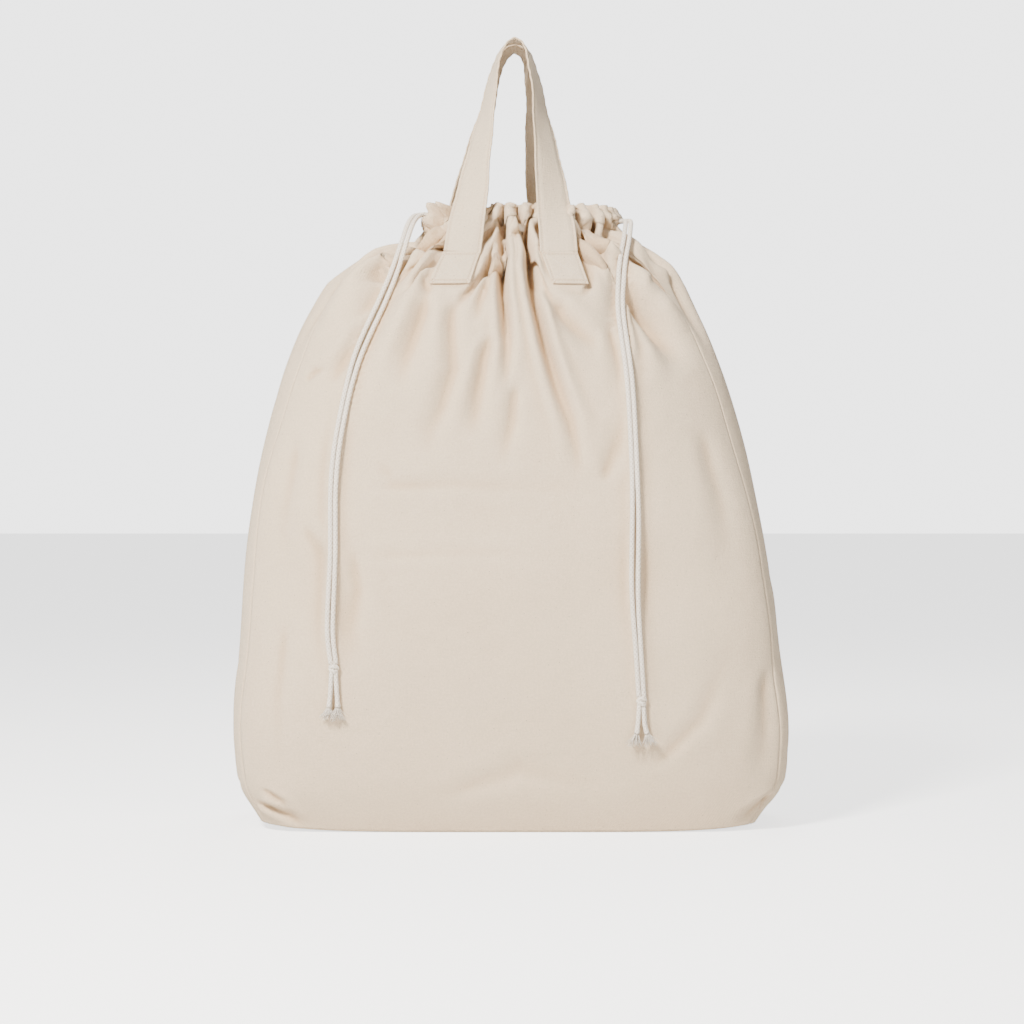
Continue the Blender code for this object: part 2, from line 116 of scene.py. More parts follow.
LEFT_EXIT = (-0.1143, 0.0000, 0.7889)
RIGHT_EXIT = (0.1383, 0.0000, 0.7799)
LEFT_STRANDS = (
    (-0.1143, 0.0000, 0.7889), (-0.1213, -0.0050, 0.7878), (-0.1268, -0.0195, 0.7822),
    (-0.1316, -0.0380, 0.7706), (-0.1366, -0.0550, 0.7520), (-0.1436, -0.0710, 0.7260),
    (-0.1517, -0.0825, 0.6999), (-0.1645, -0.0975, 0.6665), (-0.1947, -0.1225, 0.5923),
    (-0.2130, -0.1450, 0.5089), (-0.2211, -0.1530, 0.4384), (-0.2218, -0.1570, 0.3455),
    (-0.2251, -0.1570, 0.2573), (-0.2208, -0.1565, 0.2126))
RIGHT_STRANDS = (
    (0.1383, 0.0000, 0.7799), (0.1465, -0.0045, 0.7803), (0.1505, -0.0190, 0.7775),
    (0.1492, -0.0390, 0.7660), (0.1462, -0.0575, 0.7480), (0.1414, -0.0750, 0.7240),
    (0.1384, -0.0870, 0.6975), (0.1368, -0.1090, 0.6525), (0.1459, -0.1440, 0.5675),
    (0.1503, -0.1565, 0.4848), (0.1525, -0.1620, 0.4033), (0.1518, -0.1630, 0.3049),
    (0.1561, -0.1620, 0.2292), (0.1599, -0.1610, 0.1722))
STRAND_SPREAD = 0.00315
CORD_REST = 0.0037            # cloth surface below a resting cord's centre line
CORD_DENT_REACH = 0.013       # how far beside a cord the cloth is pressed in
CORD_RISE_REACH = 0.0065      # how far beside a cord the cloth is brought up to it
CORD_RISE_SHARE = 0.85
CORD_LIES_Z = 0.715           # below this the cords lie on the cloth
CORD_LEAVES_Z = 0.742         # above this they hang free of it
LEFT_DRAW_AXIS = (0.181606, -0.03581, 0.982719)
RIGHT_DRAW_AXIS = (-0.035515, -0.01973, 0.999174)

# strap loop: x, distance out, z, twist; the rear loop has its own
FRONT_LEFT_LEG = (
    (-0.0629, 0.0925, 0.7300, 5.0), (-0.0585, 0.0800, 0.7638, 12.0),
    (-0.0518, 0.0685, 0.8040, 26.0), (-0.0432, 0.0560, 0.8597, 50.0),
    (-0.0315, 0.0430, 0.9208, 66.0), (-0.0237, 0.0340, 0.9669, 74.0),
    (-0.0139, 0.0285, 0.9987, 82.0))
FRONT_RIGHT_LEG = (
    (0.0593, 0.0925, 0.7300, 5.0), (0.0570, 0.0800, 0.7638, 12.0),
    (0.0518, 0.0685, 0.8040, 26.0), (0.0451, 0.0560, 0.8597, 50.0),
    (0.0365, 0.0430, 0.9208, 66.0), (0.0287, 0.0340, 0.9669, 74.0),
    (0.0193, 0.0285, 0.9987, 82.0))
REAR_LEFT_LEG = (
    (-0.0759, 0.0905, 0.7300, 6.0), (-0.0721, 0.0790, 0.7639, 12.0),
    (-0.0635, 0.0685, 0.8040, 26.0), (-0.0510, 0.0560, 0.8597, 50.0),
    (-0.0355, 0.0430, 0.9208, 66.0), (-0.0247, 0.0340, 0.9669, 74.0),
    (-0.0139, 0.0285, 0.9977, 82.0))
REAR_RIGHT_LEG = (
    (0.0535, 0.0925, 0.7300, 5.0), (0.0487, 0.0795, 0.7638, 12.0),
    (0.0420, 0.0685, 0.8040, 26.0), (0.0343, 0.0560, 0.8597, 50.0),
    (0.0286, 0.0430, 0.9208, 66.0), (0.0247, 0.0340, 0.9669, 74.0),
    (0.0188, 0.0285, 0.9977, 82.0))
LOOP_TOP = (0.0030, 0.0265, 1.0105, 90.0)

# tints that darken the cloth, one of them painted shade in its folds, and the depths of its relief
MOTTLE_TINT = (0.90, 0.90 * 0.99, 0.90 * 0.97)
# painted shade: this tint darkens the cloth inside folds, along strap edges and in stitch dips
FOLD_SHADE_TINT = (0.76, 0.64, 0.50)
FOLD_SHADE_SHARE = 0.62
YARN_RELIEF = 0.0007
SOFT_RELIEF = 0.0040
CANVAS_TONES = {"canvas": ("natural_canvas_cloth", 1.0), "hem": ("hem_canvas_cloth", 0.985),
                "base": ("base_canvas_cloth", 0.95)}

# the stage: name, place, power and size of each lamp
LAMPS = (("key", (-1.3, -2.4, 2.4), 290.0, 0.6), ("fill", (1.5, -2.8, 1.2), 26.0, 1.2),
         ("top", (0.3, 1.3, 2.6), 40.0, 1.2))
LAMP_COLOUR = (1.0, 0.965, 0.91)
LAMP_TARGET = (0.0, 0.0, 0.42)
FLOOR_REACH = 40.0
FLOOR_Z = -0.0012             # just under the base
FLOOR_GLOW = 2.1              # seen by the camera only

# ------------------------------------------------------------------ folds pressed into the cloth
def fold_table(rows):
    """Depth, half width, lip share and line of each fold, from rows of whole numbers."""
    return [(row[0] / 1e4, row[1] / 1e4, row[2] / 100, np.reshape(row[3:], (-1, 2)) / 1e4)
            for row in rows]


# depth (negative for a ridge) and half width in tenths of a millimetre, raised lip in
# hundredths of the depth, then x and z along the line in tenths of a millimetre
FRONT_FOLDS = fold_table((
    # front centre, left groove
    (140, 50, 35, -112, 7814, -111, 7397, -120, 7060, -110, 6732, -75, 6411, -56, 6092, -75, 5777,
     -118, 5542),
    # its faint end
    (30, 80, 20, 47, 5652, 0, 5152, -93, 4779, -192, 4500),
    # front centre, right groove
    (130, 56, 35, 102, 7813, 159, 7569, 228, 7329, 221, 7060, 267, 6733, 344, 6411, 421, 6093,
     514, 5778, 615, 5465, 729, 5152, 797, 4841, 843, 4345),
    # pocket beside the left strap
    (70, 45, 30, -361, 7279, -284, 7144, -308, 6896, -401, 6635, -456, 6331),
    # left of the left strap
    (70, 50, 30, -883, 7353, -994, 7066, -1063, 6802, -1129, 6607),
    # below it, soft
    (75, 110, 30, -1038, 6802, -1158, 6414, -1310, 5969, -1469, 5435),
    # towards the left cord
    (80, 46, 40, -768, 7635, -1049, 7357, -1235, 7122, -1419, 6858, -1569, 6713),
    # under the left cord
    (200, 115, 30, -807, 7878, -1190, 7604, -1397, 7336, -1555, 7081, -1722, 6784, -1892, 6526,
     -2084, 6239),
    # left shoulder ridge
    (-30, 130, 0, -1063, 7674, -1467, 7304, -1875, 6943, -2285, 6479, -2563, 5965),
    # outer left
    (70, 120, 15, -1370, 7755, -1827, 7527, -2202, 7233, -2528, 6777, -2667, 6176),
    # left lower
    (70, 80, 30, -1821, 6296, -2054, 5979, -2227, 5744, -2419, 5606),
    # left short
    (25, 40, 30, -2621, 5661, -2490, 5784, -2326, 5827),
    # soft left centre
    (48, 90, 20, -738, 6766, -750, 6348, -731, 5778, -885, 5308, -1018, 5028, -1060, 4562),
    # soft centre
    (55, 80, 30, -234, 6283, -336, 5934, -410, 5558, -472, 5183, -502, 4903),
    # rim to the right cord
    (90, 45, 40, 803, 7826, 959, 7618, 1117, 7499, 1277, 7436),
    # right of the right strap
    (80, 50, 40, 822, 7542, 1035, 7426, 1207, 7260, 1330, 7060),
    # right diagonal
    (190, 130, 30, 1300, 7110, 1516, 6784, 1766, 6464, 2015, 6114, 2252, 5751),
    # left beside the right cord
    (52, 82, 25, 1223, 6434, 1320, 6130, 1392, 5845, 1433, 5499),
    # right beside the right cord
    (52, 82, 25, 1432, 6616, 1545, 6359, 1613, 6103, 1631, 5817, 1528, 5563),
    # below the right strap
    (62, 90, 20, 533, 6734, 657, 6476, 859, 6270, 1155, 6001),
    # notch right of the right strap
    (60, 50, 20, 811, 7233, 853, 7116, 979, 7034),
    # right shoulder spot
    (35, 90, 20, 1718, 6994, 1856, 6732, 2001, 6624),
    # outer right
    (65, 140, 15, 1648, 7525, 1988, 7018, 2272, 6531, 2520, 6014),
    # low arc
    (10, 110, 30, -1739, 4718, -1457, 4376, -1115, 4307, -775, 4376, -403, 4438),
    # beside the right cord, low
    (25, 90, 20, 1116, 4345, 1272, 4780, 1384, 5279),
    # left low edge
    (22, 110, 20, -2839, 2787, -2915, 1663, -2906, 911, -2826, 326),
    # left corner tuck
    (50, 45, 40, -3236, 300, -2921, 203, -2520, 25),
    # left corner second
    (35, 40, 30, -3146, 519, -2864, 324, -2669, 91),
    # right low edge
    (30, 110, 30, 3213, 2149, 3179, 1151, 3070, 394),
    # right corner
    (40, 50, 30, 3366, 422, 3081, 229, 2804, 15),
    # crease one
    (6, 70, 50, -2082, 4296, -775, 4357, 589, 4307, 1396, 4395),
    # crease two
    (6, 75, 50, -2079, 3452, -402, 3515, 1084, 3453),
    # upright crease
    (22, 100, 40, -1991, 3601, -1929, 3043, -2004, 2546, -1868, 1924),
    # second upright crease
    (18, 100, 40, -2650, 3910, -2368, 3413, -2267, 2917),
    # low middle
    (20, 140, 20, -1030, 416, 93, 798, 1590, 518),
    # low right
    (18, 100, 20, 1712, 797, 2333, 1422, 2775, 2413),
    # right flank
    (26, 120, 30, 2352, 5164, 2622, 4160, 2779, 3036),
    # left flank
    (28, 120, 30, -2668, 5040, -2874, 4035, -2957, 3035)))
# the same on the sides, with y and z along the line
SIDE_FOLDS = fold_table((
    (90, 55, 18, 50, 7780, 30, 7300, -60, 6700, -100, 5700),
    (80, 60, 18, -200, 7720, -340, 7200, -550, 6500, -740, 5900),
    (85, 60, 18, 240, 7720, 420, 7250, 600, 6600, 820, 5700),
    (-24, 130, 0, 130, 7500, 220, 6900, 320, 6100, 360, 5200),
    (-22, 120, 0, -140, 7500, -300, 6800, -420, 6000, -460, 5300),
    (40, 90, 30, 150, 5600, 90, 4700, 160, 3900),
    (35, 110, 30, -650, 3300, -200, 2800, 500, 2950),
    (30, 90, 30, 700, 2300, 300, 1500, -500, 1300),
    (30, 60, 20, -850, 600, -600, 300, -300, 60),
    (30, 60, 20, 850, 640, 560, 320, 330, 80)))


# ------------------------------------------------------------------ settings
class CanvasSettings(bpy.types.PropertyGroup):
    """Cloth of the body."""
    colour: FloatVectorProperty(name="Canvas colour", subtype="COLOR", size=3, min=0.0, max=1.0,
                                description="Undyed cotton canvas", default=(0.83, 0.665, 0.475))
    fleck_colour: FloatVectorProperty(name="Fleck colour", subtype="COLOR", size=3,
                                      min=0.0, max=1.0, description="Cotton seed flecks",
                                      default=(0.26, 0.17, 0.10))
    yarn_pitch: FloatProperty(name="Yarn pitch", unit="LENGTH", default=0.0011, min=0.0004,
                              description="Distance between neighbouring yarns of the weave")
    fullness: FloatProperty(name="Fullness", default=1.0, min=0.0, max=2.0,
                            description="How much spare cloth the upper body gathers")
    settle_steps: IntProperty(name="Settling steps", default=620, min=1,
                              description="Steps the cloth takes to settle over its filling")
    fold_seed: IntProperty(name="Fold seed", default=7, min=0,
                           description="Which irregular folds the cloth starts from")


class StrapSettings(bpy.types.PropertyGroup):
    """Carrying straps."""
    width: FloatProperty(name="Strap width", unit="LENGTH", default=0.048, min=0.01,
                         description="Finished width of a folded strap")
    thickness: FloatProperty(name="Strap thickness", unit="LENGTH", default=0.0024, min=0.0005,
                             description="Folded canvas thickness")
    colour: FloatVectorProperty(name="Strap colour", subtype="COLOR", size=3, min=0.0, max=1.0,
                                description="Strap canvas", default=(0.83, 0.675, 0.490))


class ThreadSettings(bpy.types.PropertyGroup):
    """Sewing thread."""
    pitch: FloatProperty(name="Stitch pitch", unit="LENGTH", default=0.0036, min=0.001,
                         description="Distance between stitches")
    length: FloatProperty(name="Stitch length", unit="LENGTH", default=0.0028, min=0.0005,
                          description="Visible length of one stitch")
    radius: FloatProperty(name="Thread radius", unit="LENGTH", default=0.00038, min=0.0001,
                          description="Radius of the sewing thread")
    colour: FloatVectorProperty(name="Thread colour", subtype="COLOR", size=3, min=0.0, max=1.0,
                                description="Cotton thread", default=(0.78, 0.69, 0.58))


class CordSettings(bpy.types.PropertyGroup):
    """Drawcords."""
    diameter: FloatProperty(name="Cord diameter", unit="LENGTH", default=0.006, min=0.002,
                            description="Outside diameter of the braided cord")
    braid_pitch: FloatProperty(name="Braid pitch", unit="LENGTH", default=0.0058, min=0.001,
                               description="Length of one repeat of the braid")
    colour: FloatVectorProperty(name="Cord colour", subtype="COLOR", size=3, min=0.0, max=1.0,
                                description="Bleached cotton cord", default=(0.90, 0.815, 0.71))


class StageSettings(bpy.types.PropertyGroup):
    """Camera, light and floor."""
    camera_distance: FloatProperty(name="Camera distance", unit="LENGTH", default=3.0, min=0.5,
                                   description="Distance from the middle of the bag")
    camera_height: FloatProperty(name="Camera height", unit="LENGTH", default=0.401,
                                 description="Height of the level camera")
    focal_length: FloatProperty(name="Focal length", unit="CAMERA", default=80.8, min=10.0,
                                description="Lens on a 36 mm wide sensor")
    room_light: FloatProperty(name="Room light", default=0.26, min=0.0,
                              description="Strength of the even light from all round")
    backdrop_light: FloatProperty(name="Backdrop light", default=3.4, min=0.0,
                                  description="Brightness of the plain backdrop")
    floor_colour: FloatVectorProperty(name="Floor colour", subtype="COLOR", size=3,
                                      min=0.0, max=1.0, description="Pale studio floor",
                                      default=(0.86, 0.86, 0.86))


# ------------------------------------------------------------------ small helpers
def link(item):
    bpy.context.scene.collection.objects.link(item)
    return item


def mesh_object(name, points, faces, uvs=None, smooth=True):
    """Mesh from points and faces, with one UV pair for every point."""
    mesh = bpy.data.meshes.new(name)
    mesh.from_pydata([tuple(p) for p in points], [], [tuple(f) for f in faces])
    mesh.update()
    if uvs is not None:
        layer = mesh.uv_layers.new(name="UVMap")
        index = np.zeros(len(mesh.loops), dtype=np.int64)
        mesh.loops.foreach_get("vertex_index", index)
        layer.data.foreach_set("uv", np.asarray(uvs, dtype=np.float32)[index].ravel())
    if smooth:
        mesh.polygons.foreach_set("use_smooth", [True] * len(mesh.polygons))
    return link(bpy.data.objects.new(name, mesh))


def dress(item, material, body="bag"):
    item.data.materials.clear()
    item.data.materials.append(material)
    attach(item, body)


def unit(vectors):
    """The same directions, one long."""
    return vectors / np.linalg.norm(vectors, axis=-1, keepdims=True)


def running_total(steps):
    """Sum before the first step and after each one."""
    return np.concatenate([[0.0], np.cumsum(steps)])


def lengths_along(line):
    """Distance from the first point of a line to each of its points."""
    return running_total(np.linalg.norm(np.diff(line, axis=0), axis=1))


def ring_faces(rings, count):
    """Quads between closed rings of points that follow each other."""
    return [(k * count + m, k * count + (m + 1) % count,
             (k + 1) * count + (m + 1) % count, (k + 1) * count + m)
            for k in range(rings - 1) for m in range(count)]


def joined_mesh(name, parts):
    """One mesh from several sets of points, faces and UV pairs."""
    points, faces, uvs = [], [], []
    for new_points, new_faces, new_uvs in parts:
        first = len(points)
        points += new_points
        faces += [tuple(i + first for i in face) for face in new_faces]
        uvs.append(new_uvs)
    return mesh_object(name, points, faces, np.concatenate(uvs))


def face_outward(item):
    """Turn every face of a closed piece outward."""
    mesh = bmesh.new()
    mesh.from_mesh(item.data)
    bmesh.ops.recalc_face_normals(mesh, faces=mesh.faces)
    mesh.to_mesh(item.data)
    mesh.free()


def spline_value(rows, position):
    """Catmull-Rom value at a fractional index."""
    last = len(rows) - 1
    index = max(0, min(int(position), last - 1))
    t = position - index
    a = np.asarray(rows[max(index - 1, 0)], float)
    b = np.asarray(rows[index], float)
    c = np.asarray(rows[index + 1], float)
    d = np.asarray(rows[min(index + 2, last)], float)
    m0 = (c - a) * 0.5
    m1 = (d - b) * 0.5
    return (b + m0 * t + (3 * (c - b) - 2 * m0 - m1) * t ** 2
            + (2 * (b - c) + m0 + m1) * t ** 3)


def even_line(rows, spacing):
    """Evenly spaced points along the smooth curve through the rows."""
    fine = np.array([spline_value(rows, (len(rows) - 1) * k / 600)[:3] for k in range(601)])
    along = lengths_along(fine)
    count = max(3, int(round(along[-1] / spacing)) + 1)
    wanted = np.linspace(0.0, along[-1], count)
    return np.stack([np.interp(wanted, along, fine[:, k]) for k in range(3)], 1), along[-1]


# ------------------------------------------------------------------ materials
class Nodes:
    """Short way to build a shader tree."""

    def __init__(self, name, colour, roughness):
        self.material = bpy.data.materials.new(name)
        self.material.use_nodes = True
        self.tree = self.material.node_tree
        self.shader = self.tree.nodes["Principled BSDF"]
        self.shader.inputs["Base Color"].default_value = (*colour, 1.0)
        self.shader.inputs["Roughness"].default_value = roughness
        self.material.diffuse_color = (*colour, 1.0)

    def add(self, kind, **values):
        node = self.tree.nodes.new(kind)
        for key, value in values.items():
            setattr(node, key, value)
        return node

    def join(self, source, target):
        self.tree.links.new(source, target)

    def math(self, operation, first, second=None, third=None):
        node = self.add("ShaderNodeMath", operation=operation)
        for slot, value in zip(node.inputs, (first, second, third)):
            if value is None:
                continue
            if isinstance(value, (int, float)):
                slot.default_value = value
            else:
                self.join(value, slot)
        return node.outputs[0]

    def mix(self, factor, first, second, blend="MIX"):
        node = self.add("ShaderNodeMix", data_type="RGBA", blend_type=blend)
        for slot, value in ((node.inputs[0], factor), (node.inputs[6], first),
                            (node.inputs[7], second)):
            if isinstance(value, (int, float)):
                slot.default_value = value
            elif isinstance(value, tuple):
                slot.default_value = (*value, 1.0)
            else:
                self.join(value, slot)
        return node.outputs[2]

    def noise(self, vector, scale, detail=3.0, stretch=None):
        if stretch is not None:
            mapping = self.add("ShaderNodeMapping")
            mapping.inputs["Scale"].default_value = stretch
            self.join(vector, mapping.inputs["Vector"])
            vector = mapping.outputs[0]
        node = self.add("ShaderNodeTexNoise")
        node.inputs["Scale"].default_value = scale
        node.inputs["Detail"].default_value = detail
        self.join(vector, node.inputs["Vector"])
        return node.outputs[0]

    def band(self, value, low, high):
        """0 below low, 1 above high."""
        node = self.add("ShaderNodeMapRange")
        node.inputs["From Min"].default_value = low
        node.inputs["From Max"].default_value = high
        self.join(value, node.inputs["Value"])
        return node.outputs[0]

    def places(self):
        """UV vector, its two values, and the place on the object."""
        uv = self.add("ShaderNodeUVMap", uv_map="UVMap").outputs[0]
        split = self.add("ShaderNodeSeparateXYZ")
        self.join(uv, split.inputs[0])
        place = self.add("ShaderNodeTexCoord").outputs["Object"]
        return uv, split.outputs[0], split.outputs[1], place

    def bump(self, height, strength, distance, normal=None):
        """Relief, laid over another one where it is given."""
        node = self.add("ShaderNodeBump")
        node.inputs["Strength"].default_value = strength
        node.inputs["Distance"].default_value = distance
        self.join(height, node.inputs["Height"])
        if normal is not None:
            self.join(normal, node.inputs["Normal"])
        return node.outputs[0]

    def finish(self, tone, normal, sheen, sheen_roughness):
        """Colour, relief and the soft sheen of cotton."""
        self.join(tone, self.shader.inputs["Base Color"])
        self.join(normal, self.shader.inputs["Normal"])
        for label, value in (("Specular IOR Level", 0.25), ("Sheen Weight", sheen),
                             ("Sheen Roughness", sheen_roughness)):
            self.shader.inputs[label].default_value = value
        return self.material


def shade(colour, amount):
    return tuple(c * amount for c in colour)


def canvas_material(name, settings, colour, strength=1.0):
    """Plain-woven undyed canvas with slubs, tonal drift and seed flecks, and painted shade in its
    folds.
    """
    n = Nodes(name, colour, 0.92)
    uv, across, up, place = n.places()
    wave = math.pi / settings.yarn_pitch
    warp = n.math("SINE", n.math("MULTIPLY", across, wave))
    weft = n.math("SINE", n.math("MULTIPLY", up, wave))
    weave = n.math("MULTIPLY", warp, weft)
    slub_up = n.noise(uv, 1.0, 3.0, (900.0, 55.0, 1.0))
    slub_across = n.noise(uv, 1.0, 3.0, (55.0, 900.0, 1.0))
    slubs = n.math("ADD", slub_up, slub_across)
    grain = n.noise(uv, 760.0, 3.0)
    drift = n.noise(place, 7.0, 4.0)
    blotch = n.noise(place, 38.0, 3.0)
    tone = n.mix(n.band(slubs, 0.75, 1.25), shade(colour, 0.95), shade(colour, 1.035))
    tone = n.mix(n.math("MULTIPLY", n.band(drift, 0.35, 0.70), 0.40), tone,
                 (colour[0] * 0.95, colour[1] * 0.925, colour[2] * 0.885))
    tone = n.mix(n.math("MULTIPLY", n.band(blotch, 0.50, 0.72), 0.25), tone,
                 shade(colour, 1.05))
    mottle = n.noise(uv, 330.0, 3.0)
    tone = n.mix(n.band(mottle, 0.38, 0.62), n.mix(1.0, tone, MOTTLE_TINT, "MULTIPLY"), tone)
    tone = n.mix(n.math("MULTIPLY", n.band(grain, 0.40, 0.62), 0.55), tone,
                 (colour[0] * 0.88, colour[1] * 0.86, colour[2] * 0.82))
    for scale, reach, share, depth in ((70.0, 0.042, 0.84, 0.85), (150.0, 0.050, 0.86, 0.70)):
        cells = n.add("ShaderNodeTexVoronoi", voronoi_dimensions="2D")
        cells.inputs["Scale"].default_value = scale
        n.join(uv, cells.inputs["Vector"])
        dot = n.math("SUBTRACT", 1.0, n.band(cells.outputs["Distance"], reach * 0.6, reach))
        pick = n.add("ShaderNodeSeparateColor")
        n.join(cells.outputs["Color"], pick.inputs[0])
        chosen = n.math("GREATER_THAN", pick.outputs[0], share)
        amount = n.math("MULTIPLY", n.math("MULTIPLY", dot, chosen), depth)
        tone = n.mix(amount, tone, tuple(settings.fleck_colour))
    # painted shade: the stored fold depth darkens the colour inside folds and along strap edges and
    # stitch dips
    fold = n.add("ShaderNodeAttribute", attribute_type="GEOMETRY", attribute_name="painted_shade")
    tone = n.mix(n.math("MULTIPLY", fold.outputs["Fac"], FOLD_SHADE_SHARE), tone, FOLD_SHADE_TINT,
                 "MULTIPLY")
    height = n.math("MULTIPLY_ADD", weave, 0.5, n.math("MULTIPLY", slubs, 1.6))
    height = n.math("MULTIPLY_ADD", grain, 1.3, height)
    soft = n.math("MULTIPLY_ADD", n.noise(place, 320.0, 3.0), 0.16, n.noise(place, 46.0, 4.0))
    weave_relief = n.bump(height, 0.60 * strength, YARN_RELIEF)
    return n.finish(tone, n.bump(soft, 0.35 * strength, SOFT_RELIEF, weave_relief), 0.18, 0.55)


def cord_material(settings):
    """Braided cotton with painted shade in the braid's grooves; UV is metres along the cord and
    turns round it.
    """
    colour = tuple(settings.colour)
    n = Nodes("braided_cotton", colour, 0.86)
    _, length, round_cord, place = n.places()
    along = n.math("MULTIPLY", length, 2.0 * math.pi / settings.braid_pitch)
    turn = n.math("MULTIPLY", round_cord, 8.0 * math.pi)
    left = n.math("SINE", n.math("ADD", along, turn))
    right = n.math("SINE", n.math("SUBTRACT", along, turn))
    braid = n.math("MAXIMUM", left, right)
    fuzz = n.noise(place, 1400.0, 2.0)
    drift = n.noise(place, 60.0, 3.0)
    # painted shade: the low parts of the braid are darkened
    tone = n.mix(n.band(braid, -0.6, 0.7), (colour[0] * 0.74, colour[1] * 0.70, colour[2] * 0.64),
                 colour)
    tone = n.mix(n.math("MULTIPLY", n.band(drift, 0.4, 0.7), 0.35), tone, shade(colour, 0.93))
    relief = n.bump(n.math("MULTIPLY_ADD", fuzz, 0.6, braid), 0.55, YARN_RELIEF)
    return n.finish(tone, relief, 0.30, 0.5)


def thread_material(settings):
    colour = tuple(settings.colour)
    n = Nodes("sewing_thread", colour, 0.8)
    place = n.add("ShaderNodeTexCoord").outputs["Object"]
    tone = n.mix(n.band(n.noise(place, 220.0, 2.0), 0.35, 0.65), shade(colour, 0.82),
                 shade(colour, 1.04))
    n.join(tone, n.shader.inputs["Base Color"])
    return n.material


MADE = {}


def material_of(name):
    """Materials are made once and shared."""
    if name in MADE:
        return MADE[name]
    scene = bpy.context.scene
    canvas = scene.bag_canvas
    if name in CANVAS_TONES:
        label, tone = CANVAS_TONES[name]
        made = canvas_material(label, canvas, shade(tuple(canvas.colour), tone))
    elif name == "strap":
        made = canvas_material("strap_canvas_cloth", canvas, tuple(scene.bag_strap.colour), 1.2)
    elif name == "cord":
        made = cord_material(scene.bag_cord)
    else:
        made = thread_material(scene.bag_thread)
    MADE[name] = made
    return made


# ------------------------------------------------------------------ body shape
def smooth_table(heights, values, z):
    """Smooth curve through a short table, read at any heights."""
    slopes = np.gradient(values, heights)
    index = np.clip(np.searchsorted(heights, z) - 1, 0, len(heights) - 2)
    span = heights[index + 1] - heights[index]
    t = (z - heights[index]) / span
    return ((2 * t ** 3 - 3 * t ** 2 + 1) * values[index]
            + (t ** 3 - 2 * t ** 2 + t) * span * slopes[index]
            + (3 * t ** 2 - 2 * t ** 3) * values[index + 1]
            + (t ** 3 - t ** 2) * span * slopes[index + 1])


def body_section(z):
    """Middle x, half width, half depth and squareness at a height."""
    z = np.clip(z, 0.0, RIM_Z)
    left, right, depth, square = (smooth_table(BODY_PROFILE[:, 0], BODY_PROFILE[:, k], z)
                                  for k in range(1, 5))
    depth = depth + FILL_OUT * ease(RIM_Z - z, 0.03, 0.10)
    return (left + right) / 2, (right - left) / 2, depth, square


def body_outline(z):
    """Outline from the middle of the left side, anticlockwise for one and a quarter turns."""
    middle, width, depth, square = body_section(z)
    angle = np.radians(np.linspace(-180.0, 270.0, FULL_TURN * 5 // 4 + 1))
    c, s = np.cos(angle), np.sin(angle)
    x = middle + width * np.sign(c) * np.abs(c) ** (2 / square)
    y = depth * np.sign(s) * np.abs(s) ** (2 / square)
    along = running_total(np.hypot(np.diff(x), np.diff(y)))
    out_x, out_y = np.gradient(y, along), -np.gradient(x, along)
    size = np.hypot(out_x, out_y)
    return x, y, along, out_x / size, out_y / size


def outline_seams(along):
    """The four upright seams and the first again, each panel taking its share of the turn."""
    round_length = along[FULL_TURN]
    side = round_length * GUSSET_FLAT / FLAT_ROUND
    half = round_length / 2
    return np.array((side / 2, half - side / 2, half + side / 2,
                     round_length - side / 2, round_length + side / 2))


def body_depth(x, z):
    """How far out the body's front or rear stands at a place."""
    middle, width, depth, square = body_section(z)
    share = np.minimum(np.abs(x - middle) / width, 1.0)
    return depth * (1.0 - share ** square) ** (1.0 / square)


def ease(value, low, high):
    t = np.clip((value - low) / (high - low), 0.0, 1.0)
    return t * t * (3 - 2 * t)


